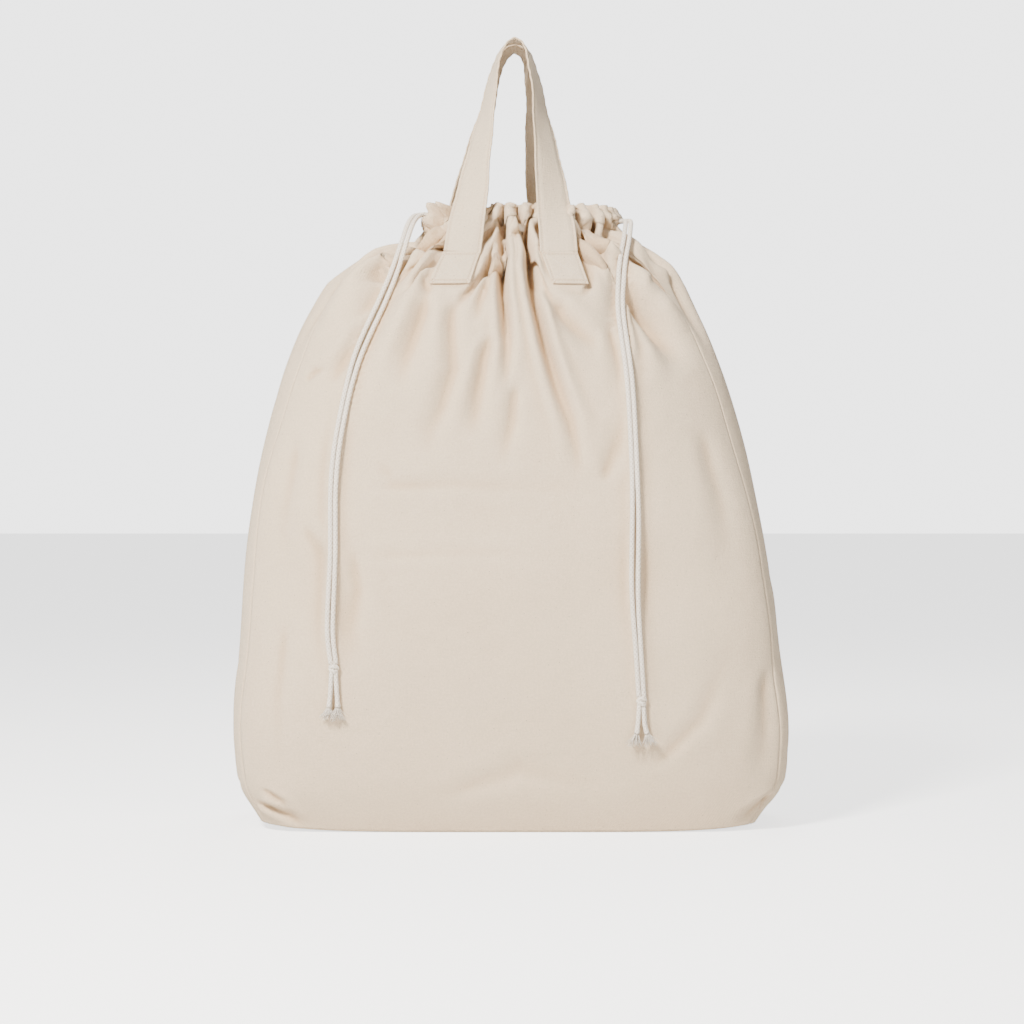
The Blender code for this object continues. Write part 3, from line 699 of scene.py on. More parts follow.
class Cloth:
    """The sewn body as a grid of flat cloth gathered on to the stuffed shape."""

    def __init__(self, seed, fullness):
        self.random = np.random.default_rng(seed)
        self.columns = np.concatenate([
            np.arange(PANEL_COLUMNS) * PANEL_FLAT / PANEL_COLUMNS,
            PANEL_FLAT + np.arange(GUSSET_COLUMNS) * GUSSET_FLAT / GUSSET_COLUMNS,
            SEAM_FLAT[2] + np.arange(PANEL_COLUMNS) * PANEL_FLAT / PANEL_COLUMNS,
            SEAM_FLAT[3] + np.arange(GUSSET_COLUMNS) * GUSSET_FLAT / GUSSET_COLUMNS])
        self.make_pleats()
        self.rows_flat = np.linspace(0.0, PANEL_HEIGHT, CLOTH_ROWS + 1)
        heights = np.linspace(0.0, RIM_Z, 600)
        _, width, depth, _ = body_section(heights)
        climb = running_total(np.hypot(np.diff(heights),
                                       0.75 * np.diff(depth) + 0.25 * np.diff(width)))
        self.row_z = np.interp(self.rows_flat / PANEL_HEIGHT, climb / climb[-1], heights)
        self.outlines = [body_outline(z) for z in self.row_z]
        self.spare = np.interp(self.row_z, *SPARE_CLOTH) * fullness
        self.take_up = np.empty((CLOTH_ROWS + 1, 4))
        for row, outline in enumerate(self.outlines):
            seams = outline_seams(outline[2])
            self.take_up[row] = np.minimum(
                1.0, np.diff(seams) * (1 + self.spare[row]) / np.diff(SEAM_FLAT))
        self.panel_of = np.searchsorted(SEAM_FLAT, self.columns + 1e-9) - 1
        self.fold()

    def make_pleats(self):
        """Irregular pleat boundaries round the flat cloth."""
        starts, under_strap = [], []
        for panel in range(4):
            base = SEAM_FLAT[panel]
            if panel % 2 == 0:
                cuts = (-PANEL_FLAT / 2, *STRAP_STRIPS, PANEL_FLAT / 2)
                counts = (3, 1, 3, 1, 3)
                half = PANEL_FLAT / 2
            else:
                cuts = (-GUSSET_FLAT / 2, GUSSET_FLAT / 2)
                counts = (4,)
                half = GUSSET_FLAT / 2
            for part, count in enumerate(counts):
                share = 1 + 0.34 * self.random.uniform(-1, 1, count)
                if panel == 0 and part == 2:
                    share = np.array(MIDDLE_PLEATS)
                edge = running_total(share) / share.sum()
                low, high = cuts[part], cuts[part + 1]
                for place in edge[:-1]:
                    starts.append(base + half + low + (high - low) * place)
                    under_strap.append(panel % 2 == 0 and part % 2 == 1)
        self.starts = np.array(starts + [FLAT_ROUND])
        self.under_strap = np.array(under_strap)
        self.lean = self.random.uniform(-0.16, 0.16, len(under_strap))
        self.bold = self.random.uniform(0.82, 1.12, len(under_strap))

    def boundary_places(self, z, x, along):
        """Where the pleat boundaries sit on one outline."""
        seams = outline_seams(along)
        edge = np.searchsorted(along, seams)
        even = np.interp(self.starts, SEAM_FLAT, seams)
        pull = ease(z, 0.53, 0.68) * (1 - ease(z, 0.730, 0.780))
        if pull <= 0:
            return even
        rise = np.clip((z - TAB_LOW_Z) / (TAB_TOP_Z - TAB_LOW_Z), -3.0, 1.6)
        flat, placed = [0.0], [seams[0]]
        for panel, edges, low, high in ((0, FRONT_TAB_EDGES, edge[0], edge[1]),
                                        (2, REAR_TAB_EDGES, edge[2], edge[3])):
            part_x, part_along = x[low:high + 1], along[low:high + 1]
            turn = 1.0 if part_x[0] < part_x[-1] else -1.0
            for strip, (lower, upper) in zip(STRAP_STRIPS, edges):
                wanted = lower + (upper - lower) * rise
                flat.append(SEAM_FLAT[panel] + PANEL_FLAT / 2 + strip)
                placed.append(np.interp(turn * wanted, turn * part_x, part_along))
            flat += [SEAM_FLAT[panel + 1], SEAM_FLAT[panel + 2]]
            placed += [seams[panel + 1], seams[panel + 2]]
        drawn = np.interp(self.starts, flat, placed)
        return even * (1 - pull) + drawn * pull

    def fold(self):
        """Gathered start shape: each row's taken-up length in pleats, none too deep."""
        height_share = np.linspace(0.0, 2.0, 400)
        t = np.linspace(0.0, 1.0, 240)
        wave = np.sin(2 * np.pi * t)
        stretch = np.array([np.hypot(np.diff(t), np.diff(a * wave)).sum() for a in height_share])
        self.start = np.zeros((CLOTH_ROWS + 1, COLUMNS, 3))
        self.strap_mask = np.zeros((CLOTH_ROWS + 1, COLUMNS), bool)
        for row, z in enumerate(self.row_z):
            x, y, along, out_x, out_y = self.outlines[row]
            places = self.boundary_places(z, x, along)
            flat_here = ease(z, 0.63, 0.675) * (1 - ease(z, 0.744, 0.772))
            for k in range(len(self.starts) - 1):
                low, high = self.starts[k], self.starts[k + 1]
                chosen = np.where((self.columns >= low - 1e-9) & (self.columns < high - 1e-9))[0]
                room = max(places[k + 1] - places[k], 1e-5)
                panel = np.searchsorted(SEAM_FLAT, low + 1e-9) - 1
                length = (high - low) * self.take_up[row, panel]
                reach = np.interp(length / room, stretch, height_share) * room * self.bold[k]
                if self.under_strap[k]:
                    reach *= 1 - flat_here
                reach = min(reach, DEEPEST_PLEAT) * ease(self.spare[row], 0.0, 0.03)
                skew = t + self.lean[k] * np.sin(np.pi * t) ** 2 * 0.5
                path = running_total(np.hypot(np.diff(skew) * room, np.diff(reach * wave)))
                share = np.interp((self.columns[chosen] - low) / (high - low), path / path[-1], t)
                arc = places[k] + room * np.interp(share, t, skew)
                off = -reach * np.sin(2 * np.pi * share)
                self.start[row, chosen, 0] = (np.interp(arc, along, x)
                                              + np.interp(arc, along, out_x) * off)
                self.start[row, chosen, 1] = (np.interp(arc, along, y)
                                              + np.interp(arc, along, out_y) * off)
                self.start[row, chosen, 2] = z
                if self.under_strap[k]:
                    self.strap_mask[row, chosen] = True

    def lengths(self):
        """Flat lengths of the cloth's yarns between grid points."""
        gap = np.diff(np.append(self.columns, FLAT_ROUND))
        self.across = gap[None, :] * self.take_up[:, self.panel_of]
        smooth = np.zeros((CLOTH_ROWS + 1, COLUMNS, 3))
        for row, z in enumerate(self.row_z):
            x, y, along, _, _ = self.outlines[row]
            seams = outline_seams(along)
            arc = np.interp(self.columns, SEAM_FLAT, seams)
            smooth[row, :, 0] = np.interp(arc, along, x)
            smooth[row, :, 1] = np.interp(arc, along, y)
            smooth[row, :, 2] = z
        ease_up = 1.001 + 0.014 * ease(self.row_z[:-1], 0.55, 0.72)
        self.upward = np.linalg.norm(np.diff(smooth, axis=0), axis=2) * ease_up[:, None]
        mean = (self.across[:-1] + self.across[1:]) / 2
        self.slant = np.sqrt(mean ** 2 + self.upward ** 2)

    def settle(self, steps):
        """Relax the cloth over its filling: yarns keep their length, the filling pushes out."""
        self.lengths()
        points = self.start.copy()
        free = np.ones((CLOTH_ROWS + 1, COLUMNS))
        edge = PANEL_HEIGHT - self.rows_flat
        free[(edge < 0.0165) & (edge > 0.0065)] = 0.0
        free[self.row_z < STILL_Z] = 0.0
        sewn = (self.row_z > TAB_LOW_Z - 0.004) & (self.row_z < TAB_TOP_Z + 0.003)
        free[sewn[:, None] & self.strap_mask] = 0.0
        push = (np.clip((0.775 - self.row_z) / 0.15, 0, 1) * FILLING_PUSH)[:, None] * free
        heights = np.linspace(0.0, RIM_Z, 400)
        section = body_section(heights)
        ruffle = self.random.normal(0.0, 1.0, points.shape)
        for _ in range(14):
            ruffle = (ruffle + np.roll(ruffle, 1, 1) + np.roll(ruffle, -1, 1)
                      + np.concatenate([ruffle[1:], ruffle[-1:]])
                      + np.concatenate([ruffle[:1], ruffle[:-1]])) / 5
        points += ruffle / ruffle.std() * START_RUFFLE * free[..., None]
        speed = np.zeros_like(points)
        for _ in range(steps):
            before = points.copy()
            points += speed * KEPT_SPEED * free[..., None]
            points += cloth_normals(points) * push[..., None]
            points[..., 2] -= CLOTH_SINK * free
            self.hold_lengths(points, free)
            self.hold_filling(points, free, heights, section)
            speed = points - before
        return points

    def hold_lengths(self, points, free):
        """One pass over warp, weft, both diagonals and the bending spans."""
        rows, columns = CLOTH_ROWS, COLUMNS
        for odd in (0, 1):
            a = np.arange(odd, columns, 2)
            b = (a + 1) % columns
            pull(points, free, (slice(None), a), (slice(None), b), self.across[:, a], 1.0)
        for odd in (0, 1):
            a = np.arange(odd, rows, 2)
            pull(points, free, (a,), (a + 1,), self.upward[a], 1.0)
        every = np.arange(columns)
        beside = (every + 1) % columns
        for first, second in ((every, beside), (beside, every)):
            for odd in (0, 1):
                a = np.arange(odd, rows, 2)
                pull(points, free, np.ix_(a, first), np.ix_(a + 1, second),
                     self.slant[a], 0.5)
        for k in range(4):
            a = np.arange(k, columns, 4)
            b = (a + 2) % columns
            pull(points, free, (slice(None), a), (slice(None), b), 2 * self.across[:, a], 0.15)
        for k in range(4):
            a = np.arange(k, rows - 1, 4)
            pull(points, free, (a,), (a + 2,), 2 * self.upward[a], 0.15)

    def hold_filling(self, points, free, heights, section):
        """Keep the cloth on the outside of the filling and off the floor."""
        z = np.clip(points[..., 2], 0.0, RIM_Z)
        middle, width, depth, square = (np.interp(z, heights, part) for part in section)
        x = points[..., 0] - middle
        y = points[..., 1]
        reach = ((np.abs(x) / width) ** square + (np.abs(y) / depth) ** square) ** (1 / square)
        reach += 1e-9
        least = 1 - np.interp(z, *SINKS_IN)
        most = 1 + np.interp(z, *STANDS_OUT)
        scale = np.where(reach < least, least / reach, np.where(reach > most, most / reach, 1.0))
        scale = np.where(free > 0, scale, 1.0)
        points[..., 0] = middle + x * scale
        points[..., 1] = y * scale
        points[..., 2] = np.where(free > 0, np.maximum(points[..., 2], 0.0015), points[..., 2])


def pull(points, free, first, second, rest, stiffness):
    """Move pairs of grid points to their flat distance."""
    a, b = points[first], points[second]
    free_a, free_b = free[first], free[second]
    gap = b - a
    length = np.sqrt((gap * gap).sum(-1)) + 1e-12
    weight = free_a + free_b
    share = stiffness * (length - rest) / (length * np.where(weight > 0, weight, 1.0))
    points[first] = a + (free_a * share)[..., None] * gap
    points[second] = b - (free_b * share)[..., None] * gap


def cloth_normals(points):
    across = np.roll(points, -1, 1) - np.roll(points, 1, 1)
    up = np.empty_like(points)
    up[1:-1] = points[2:] - points[:-2]
    up[0] = points[1] - points[0]
    up[-1] = points[-1] - points[-2]
    normal = np.cross(across, up)
    return normal / (np.linalg.norm(normal, axis=-1, keepdims=True) + 1e-12)


def finer(values, wrap):
    """Twice as many points along the first axis, on a smooth curve."""
    if wrap:
        a, d = np.roll(values, 1, 0), np.roll(values, -2, 0)
        b, c = values, np.roll(values, -1, 0)
    else:
        b, c = values[:-1], values[1:]
        a = np.concatenate([values[:1], values[:-2]])
        d = np.concatenate([values[2:], values[-1:]])
    between = (9 * (b + c) - a - d) / 16
    out = np.empty((len(values) + len(between), *values.shape[1:]))
    out[0::2], out[1::2] = values, between
    return out


def fold_height(u, z, folds):
    """Height of the cloth over its plain surface from a list of folds."""
    total = np.zeros_like(u)
    for depth, half_width, lip, line in folds:
        step = np.diff(line, axis=0)
        size = np.linalg.norm(step, axis=1)
        along = lengths_along(line)
        nearest = np.full(u.shape, 9.0)
        place = np.zeros_like(u)
        for k in range(len(step)):
            du, dz = u - line[k, 0], z - line[k, 1]
            t = np.clip((du * step[k, 0] + dz * step[k, 1]) / size[k] ** 2, 0.0, 1.0)
            gap = np.hypot(du - t * step[k, 0], dz - t * step[k, 1])
            closer = gap < nearest
            nearest = np.where(closer, gap, nearest)
            place = np.where(closer, along[k] + t * size[k], place)
        share = place / along[-1]
        top = 1.0 if line[0, 1] > 0.77 else ease(share, 0.0, 0.22)
        fade = top * (1 - ease(share, 0.40, 1.0)) ** 0.8
        wide = half_width * (0.70 + 0.9 * share)
        a = nearest / wide
        groove = -np.exp(-a ** 2) + lip * np.exp(-((a - 2.1) / 1.1) ** 2)
        total += depth * groove * fade
    return total


def body_normals(points):
    """Outward directions of the smooth stuffed body at the cloth's points."""
    middle, width, depth, square = body_section(points[..., 2])
    x, y = (points[..., 0] - middle) / width, points[..., 1] / depth
    nx = np.sign(x) * np.abs(x) ** (square - 1) / width
    ny = np.sign(y) * np.abs(y) ** (square - 1) / depth
    size = np.hypot(nx, ny) + 1e-9
    nx, ny = nx / size, ny / size
    tilt = np.interp(points[..., 2], *TILT)
    level = np.sqrt(1 - tilt ** 2)
    return np.stack([nx * level, ny * level, tilt], -1)


def strap_cover(points, edges, face):
    """1 where a sewn strap end holds the cloth flat, fading to 0 around it."""
    x, y, z = points[..., 0], points[..., 1], points[..., 2]
    rise = (z - TAB_LOW_Z) / (TAB_TOP_Z - TAB_LOW_Z)
    cover = np.zeros_like(x)
    for low, high in ((edges[0], edges[1]), (edges[2], edges[3])):
        left, right = sorted((low, high))
        left = left[0] + (left[1] - left[0]) * rise
        right = right[0] + (right[1] - right[0]) * rise
        gap = np.maximum(np.maximum(left - x, x - right), 0.0)
        gap_z = np.maximum(np.maximum(TAB_LOW_Z - z, z - TAB_TOP_Z - 0.004), 0.0)
        cover = np.maximum(cover, 1 - ease(np.hypot(gap, gap_z), 0.001, 0.007))
    return cover * (y * face > 0)


def press_folds(points):
    """Long folds, creases and slow unevenness of a stuffed soft bag."""
    x, y, z = points[..., 0], points[..., 1], points[..., 2]
    out = body_normals(points)
    facing = np.abs(out[..., 1]) / np.hypot(out[..., 0], out[..., 1])
    front = np.where(y < 0, ease(facing, 0.05, 0.45), 0.0)
    rear = np.where(y > 0, ease(facing, 0.05, 0.45), 0.0)
    side = 1 - ease(facing, 0.30, 0.75)
    height = fold_height(x, z, FRONT_FOLDS) * front * FOLD_STRENGTH
    # the rear has the front's folds the other way round, a little moved and calmer
    height += fold_height(0.026 - x * 0.96, z + 0.006, FRONT_FOLDS) * rear * FOLD_STRENGTH * 0.9
    height += fold_height(np.where(x > 0, y, -y * 0.94 + 0.004), z, SIDE_FOLDS) * side
    random = np.random.default_rng(UNEVEN_SEED)
    slow = np.zeros_like(x)
    for size, reach in ((9.0, 0.0016), (15.0, 0.0011), (26.0, 0.0006), (48.0, 0.0003)):
        for _ in range(3):
            direction = random.normal(0, 1, 3)
            direction *= size * random.uniform(0.7, 1.3) / np.linalg.norm(direction)
            slow += reach * np.sin(x * direction[0] * 2 + y * direction[1] * 2
                                   + z * direction[2] * 2 + random.uniform(0, 6.3))
    slow *= ease(z, 0.0, 0.05) * (1 - ease(z, 0.70, 0.76)) * facing
    held = 1 - np.maximum(strap_cover(points, FRONT_TAB_EDGES, -1),
                          strap_cover(points, REAR_TAB_EDGES, 1))
    moved = points + out * ((height + slow) * held)[..., None]
    corner = np.minimum(np.abs(x) / 0.32, 1.0) ** 5
    moved[..., 2] += 0.009 * corner * (1 - ease(z, 0.0, 0.10))
    return moved


def lay_under_cords(points):
    """The hanging cords press into the cloth; elsewhere the cloth meets them."""
    moved = points.copy()
    for side, route in ((-1, LEFT_STRANDS), (1, RIGHT_STRANDS)):
        lines = [strand_line(route, side, strand) for strand in (-1, 1)]
        centre = ((lines[0] + lines[1]) / 2)[::2]
        low = centre[centre[:, 2] < CORD_LEAVES_Z]
        region = ((moved[..., 1] < 0) & (np.abs(moved[..., 0] - low[:, 0].mean()) < 0.15)
                  & (moved[..., 2] > low[:, 2].min() - 0.05))
        chosen = moved[region]
        gap = np.hypot(chosen[:, None, 0] - low[None, :, 0], chosen[:, None, 2] - low[None, :, 2])
        nearest = gap.argmin(1)
        distance = gap[np.arange(len(gap)), nearest]
        wanted = low[nearest, 1] + CORD_REST
        weight = np.exp(-(np.maximum(distance - 0.006, 0.0) / CORD_DENT_REACH) ** 2)
        weight *= 1 - ease(chosen[:, 2], CORD_LIES_Z, CORD_LEAVES_Z)
        near = np.exp(-(np.maximum(distance - 0.004, 0.0) / CORD_RISE_REACH) ** 2)
        near *= 1 - ease(chosen[:, 2], CORD_LIES_Z, CORD_LEAVES_Z)
        below = np.maximum(wanted - chosen[:, 1], 0.0)
        above = np.minimum(wanted - chosen[:, 1], 0.0)
        chosen[:, 1] += below * weight + above * CORD_RISE_SHARE * near
        moved[region] = chosen
        for line in lines:
            for _ in range(2):
                region = ((np.abs(moved[..., 0] - line[:30, 0].mean()) < 0.10)
                          & (moved[..., 2] > 0.68) & (moved[..., 1] < 0.02))
                chosen = moved[region]
                gap = chosen[:, None, :] - line[None, :60, :]
                size = np.linalg.norm(gap, axis=2)
                nearest = size.argmin(1)
                size = size[np.arange(len(size)), nearest]
                push = np.exp(-(np.maximum(size - CORD_REST, 0.0) / 0.006) ** 2)
                short = np.maximum(CORD_REST + 0.0010 - size, 0.0)
                away = chosen - line[nearest]
                away -= body_normals(chosen) * 0.004
                away /= np.linalg.norm(away, axis=1, keepdims=True) + 1e-9
                chosen += away * (short * push)[:, None]
                moved[region] = chosen
    return moved


def painted_fold_shade(points, normals):
    """Painted shade for the folds: 0 on open cloth, rising to 1 deep inside a fold."""
    total = np.zeros(points.shape[:2])
    soft = points
    for passes, depth, share in ((10, 0.0011, 0.65), (60, 0.0090, 0.45)):
        for _ in range(passes):
            up = np.concatenate([soft[1:], soft[-1:]])
            down = np.concatenate([soft[:1], soft[:-1]])
            soft = (2 * soft + 1.6 * (np.roll(soft, 1, 1) + np.roll(soft, -1, 1)) + up + down) / 7.2
        total += share * np.clip(((soft - points) * normals).sum(-1) / depth, 0.0, 1.0)
    return np.clip(total, 0.0, 1.0)


def store_painted_shade(item, values):
    """Store how much painted shade each point gets from how deep in a fold it lies, for the cloth's
    colour.
    """
    layer = item.data.attributes.new("painted_shade", "FLOAT", "POINT")
    layer.data.foreach_set("value", np.asarray(values, dtype=np.float32).ravel())


SETTLED = {}


def calm_buckles(points, row_z):
    """The filling wears flat the sharp little buckles below the gathers."""
    share = 0.5 * ease(row_z, *CALM_LOW_Z) * (1 - ease(row_z, *CALM_HIGH_Z))
    for _ in range(CALM_PASSES):
        around = (np.roll(points, 1, 1) + np.roll(points, -1, 1)) / 2
        around[1:-1] = around[1:-1] / 2 + (points[2:] + points[:-2]) / 4
        points = points + (around - points) * share[:, None, None]
    return points


def settled_cloth():
    """The settled grid, twice as fine, with flat coordinates and normals."""
    if SETTLED:
        return SETTLED
    settings = bpy.context.scene.bag_canvas
    cloth = Cloth(settings.fold_seed, settings.fullness)
    steps = settings.settle_steps
    points = calm_buckles(cloth.settle(steps), cloth.row_z)
    fine = finer(np.swapaxes(finer(points, False), 0, 1), True)
    fine = press_folds(np.swapaxes(fine, 0, 1))
    fine = lay_under_cords(fine)
    gap = np.diff(np.append(cloth.columns, FLAT_ROUND))
    flat = np.empty(2 * COLUMNS)
    flat[0::2], flat[1::2] = cloth.columns, cloth.columns + gap / 2
    SETTLED["points"] = fine
    SETTLED["normals"] = cloth_normals(fine)
    # how much painted shade darkens each point in the folds
    SETTLED["painted_shade"] = painted_fold_shade(fine, SETTLED["normals"])
    SETTLED["flat"] = flat
    SETTLED["rise"] = np.linspace(0.0, PANEL_HEIGHT, fine.shape[0])
    return SETTLED


def grid_faces(rows, columns, first=0, flip=False):
    index = first + np.arange(rows * columns).reshape(rows, columns)
    quads = np.stack([index[:-1, :-1], index[:-1, 1:], index[1:, 1:], index[1:, :-1]], -1)
    quads = quads.reshape(-1, 4)
    return quads[:, ::-1] if flip else quads


def grid_border(rows, columns):
    """Border of a grid, walked the way its faces turn."""
    index = np.arange(rows * columns).reshape(rows, columns)
    return np.concatenate([index[0, :-1], index[:-1, -1], index[-1, :0:-1], index[:0:-1, 0]])


def close_edges(outer, inner):
    """Faces joining an outer border to an inner one with half as many points."""
    faces = []
    for k in range(len(inner)):
        a, b = outer[2 * k], outer[2 * k + 1]
        c = outer[(2 * k + 2) % len(outer)]
        d, e = inner[k], inner[(k + 1) % len(inner)]
        faces += [(b, a, d), (b, d, e), (c, b, e)]
    return faces


HEM_ROW = int(round((PANEL_HEIGHT - HEM_WIDTH) / PANEL_HEIGHT * 2 * CLOTH_ROWS))


def panel_columns(panel):
    starts = (0, PANEL_COLUMNS, PANEL_COLUMNS + GUSSET_COLUMNS,
              2 * PANEL_COLUMNS + GUSSET_COLUMNS, COLUMNS)
    return np.arange(2 * starts[panel], 2 * starts[panel + 1] + 1)


def cloth_block(rows, columns):
    """Points, normals, painted fold shade, flat places and rise of a part of the settled cloth."""
    cloth = settled_cloth()
    wrapped = columns % (2 * COLUMNS)
    turns = np.where(columns >= 2 * COLUMNS, 1, 0) - np.where(columns < 0, 1, 0)
    return (*(cloth[name][np.ix_(rows, wrapped)] for name in ("points", "normals", "painted_shade")),
            cloth["flat"][wrapped] + turns * FLAT_ROUND, cloth["rise"][rows])


def make_cloth_panel(name, panel):
    """One sewn panel: fine outer face, coarser inner face."""
    columns = panel_columns(panel)
    rows = np.arange(0, HEM_ROW + 3 - HEM_ROW % 2)
    outer, normals, painted_shade, flat, rise = cloth_block(rows, columns)
    from_seam = np.minimum(columns - columns[0], columns[-1] - columns)
    dip = np.where(from_seam == 0, -0.0007, np.where(from_seam == 1, 0.0001, 0.0))
    outer += normals * dip[None, :, None]
    tuck = np.where(rows > HEM_ROW, -0.0010, 0.0)
    outer += normals * tuck[:, None, None]
    uv = np.stack(np.meshgrid(flat, rise), -1)
    points = outer.reshape(-1, 3)
    inner = (outer - normals * 0.0013)[::2, ::2]
    inner_uv = uv[::2, ::2]
    inside = grid_faces(inner.shape[0], inner.shape[1], len(points), True)
    rim = close_edges(grid_border(len(rows), len(columns)),
                      len(points) + grid_border(inner.shape[0], inner.shape[1]))
    item = mesh_object(name, np.concatenate([points, inner.reshape(-1, 3)]),
                       [*grid_faces(len(rows), len(columns)), *inside, *rim],
                       np.concatenate([uv.reshape(-1, 2), inner_uv.reshape(-1, 2)]))
    # painted fold shade on the outer and inner faces
    store_painted_shade(item, np.concatenate([painted_shade.ravel(), painted_shade[::2, ::2].ravel()]))
    return item


def make_hem(name, columns):
    """Folded hem: up the outside, over the mouth edge and down the inside."""
    rows = np.arange(HEM_ROW, 2 * CLOTH_ROWS + 1)
    middle, normals, painted_shade, flat, rise = cloth_block(rows, columns)
    share = np.linspace(0.0, 1.0, len(rows))
    puff = 0.0012 + 0.0016 * np.sin(np.pi * np.minimum(share * 1.1, 1.0))
    puff[-1] = 0.0008
    outside = middle + normals * puff[:, None, None]
    inside = (middle - normals * puff[:, None, None])[::-1]
    top = middle[-1:] + np.array((0.0, 0.0, 0.0009))
    loop = np.concatenate([outside, top, inside])
    travel = np.arange(loop.shape[0]) * (PANEL_HEIGHT / (2 * CLOTH_ROWS))
    uv = np.stack(np.meshgrid(flat, rise[0] + travel), -1)
    item = mesh_object(name, loop.reshape(-1, 3), grid_faces(loop.shape[0], loop.shape[1]),
                       uv.reshape(-1, 2))
    # painted fold shade along the hem's outside, top and inside
    store_painted_shade(item, np.concatenate([painted_shade, painted_shade[-1:], painted_shade[::-1]]))
    return item, outside


# ------------------------------------------------------------------ stitches
def stitch_tree():
    """Geometry nodes: a short thread stitch at every pitch along a sewn line."""
    if "thread_stitches" in bpy.data.node_groups:
        return bpy.data.node_groups["thread_stitches"]
    tree = bpy.data.node_groups.new("thread_stitches", "GeometryNodeTree")
    face = tree.interface
    face.new_socket("Sewn Line", in_out="INPUT", socket_type="NodeSocketGeometry")
    for label, value in (("Pitch", 0.0036), ("Stitch Length", 0.0028), ("Thread Radius", 0.0004)):
        socket = face.new_socket(label, in_out="INPUT", socket_type="NodeSocketFloat")
        socket.default_value = value
    face.new_socket("Thread", in_out="INPUT", socket_type="NodeSocketMaterial")
    face.new_socket("Stitches", in_out="OUTPUT", socket_type="NodeSocketGeometry")
    nodes = {name: tree.nodes.new(kind) for name, kind in (
        ("start", "NodeGroupInput"), ("end", "NodeGroupOutput"),
        ("curve", "GeometryNodeMeshToCurve"), ("points", "GeometryNodeCurveToPoints"),
        ("bead", "GeometryNodeMeshUVSphere"), ("size", "ShaderNodeCombineXYZ"),
        ("half", "ShaderNodeMath"), ("place", "GeometryNodeInstanceOnPoints"),
        ("real", "GeometryNodeRealizeInstances"), ("colour", "GeometryNodeSetMaterial"))}
    nodes["points"].mode = "LENGTH"
    nodes["half"].operation = "MULTIPLY"
    nodes["half"].inputs[1].default_value = 0.5
    for label, value in (("Segments", 6), ("Rings", 4), ("Radius", 1.0)):
        nodes["bead"].inputs[label].default_value = value
    for source, output, target, slot in (
            ("start", "Sewn Line", "curve", "Mesh"), ("curve", "Curve", "points", "Curve"),
            ("start", "Pitch", "points", "Length"), ("points", "Points", "place", "Points"),
            ("points", "Rotation", "place", "Rotation"), ("bead", "Mesh", "place", "Instance"),
            ("start", "Thread Radius", "size", 0), ("start", "Thread Radius", "size", 1),
            ("start", "Stitch Length", "half", 0), ("half", 0, "size", 2),
            ("size", 0, "place", "Scale"), ("place", "Instances", "real", "Geometry"),
            ("real", "Geometry", "colour", "Geometry"), ("start", "Thread", "colour", "Material"),
            ("colour", "Geometry", "end", "Stitches")):
        tree.links.new(nodes[source].outputs[output], nodes[target].inputs[slot])
    return tree


def sew(name, lines, body):
    """Stitches along a set of open lines of points."""
    points, edges = [], []
    for line in lines:
        first = len(points)
        points += [tuple(p) for p in line]
        edges += [(first + k, first + k + 1) for k in range(len(line) - 1)]
    mesh = bpy.data.meshes.new(name + "_line")
    mesh.from_pydata(points, edges, [])
    carrier = link(bpy.data.objects.new(name + "_line", mesh))
    settings = bpy.context.scene.bag_thread
    tree = stitch_tree()
    modifier = carrier.modifiers.new("stitches", "NODES")
    modifier.node_group = tree
    values = {"Pitch": settings.pitch, "Stitch Length": settings.length,
              "Thread Radius": settings.radius, "Thread": material_of("thread")}
    for item in tree.interface.items_tree:
        if item.item_type == "SOCKET" and item.in_out == "INPUT" and item.name in values:
            modifier[item.identifier] = values[item.name]
    graph = bpy.context.evaluated_depsgraph_get()
    made = bpy.data.meshes.new_from_object(carrier.evaluated_get(graph))
    bpy.data.objects.remove(carrier, do_unlink=True)
    made.name = name
    made.polygons.foreach_set("use_smooth", [True] * len(made.polygons))
    item = link(bpy.data.objects.new(name, made))
    dress(item, material_of("thread"), body)
    return item


# ------------------------------------------------------------------ operators
class BAG_OT_stage(bpy.types.Operator):
    """Camera, lights, world and floor"""
    bl_idname = "bag.stage"
    bl_label = "Set the stage"

    def execute(self, context):
        stage = context.scene.bag_stage
        camera = bpy.data.cameras.new("front_camera")
        camera.lens = stage.focal_length
        camera.sensor_width = 36.0
        view = link(bpy.data.objects.new("front_camera", camera))
        view.location = (0.0, -stage.camera_distance, stage.camera_height)
        view.rotation_euler = (math.radians(90.0), 0.0, 0.0)
        context.scene.camera = view
        world = bpy.data.worlds.new("pale_studio")
        world.use_nodes = True
        tree = world.node_tree
        sky = tree.nodes["Background"]
        sky.inputs[0].default_value = (1.0, 1.0, 1.0, 1.0)
        ray = tree.nodes.new("ShaderNodeLightPath")
        level = tree.nodes.new("ShaderNodeMapRange")
        level.inputs["To Min"].default_value = stage.room_light
        level.inputs["To Max"].default_value = stage.backdrop_light
        tree.links.new(ray.outputs["Is Camera Ray"], level.inputs["Value"])
        tree.links.new(level.outputs[0], sky.inputs[1])
        context.scene.world = world
        for name, place, power, size in LAMPS:
            lamp = bpy.data.lights.new(name, "AREA")
            lamp.energy = power
            lamp.color = LAMP_COLOUR
            lamp.size = size
            item = link(bpy.data.objects.new(name, lamp))
            item.location = place
            aim = Vector(LAMP_TARGET) - Vector(place)
            item.rotation_euler = aim.to_track_quat("-Z", "Y").to_euler()
        far, low = FLOOR_REACH, FLOOR_Z
        floor = mesh_object("studio_floor", ((-far, -far, low), (far, -far, low),
                                             (far, far, low), (-far, far, low)),
                            ((0, 1, 2, 3),), smooth=False)
        paint = Nodes("studio_floor_paint", tuple(stage.floor_colour), 0.9)
        seen = paint.add("ShaderNodeLightPath").outputs["Is Camera Ray"]
        paint.shader.inputs["Emission Color"].default_value = (1.0, 1.0, 1.0, 1.0)
        paint.join(paint.math("MULTIPLY", seen, FLOOR_GLOW),
                   paint.shader.inputs["Emission Strength"])
        floor.data.materials.append(paint.material)
        return {"FINISHED"}


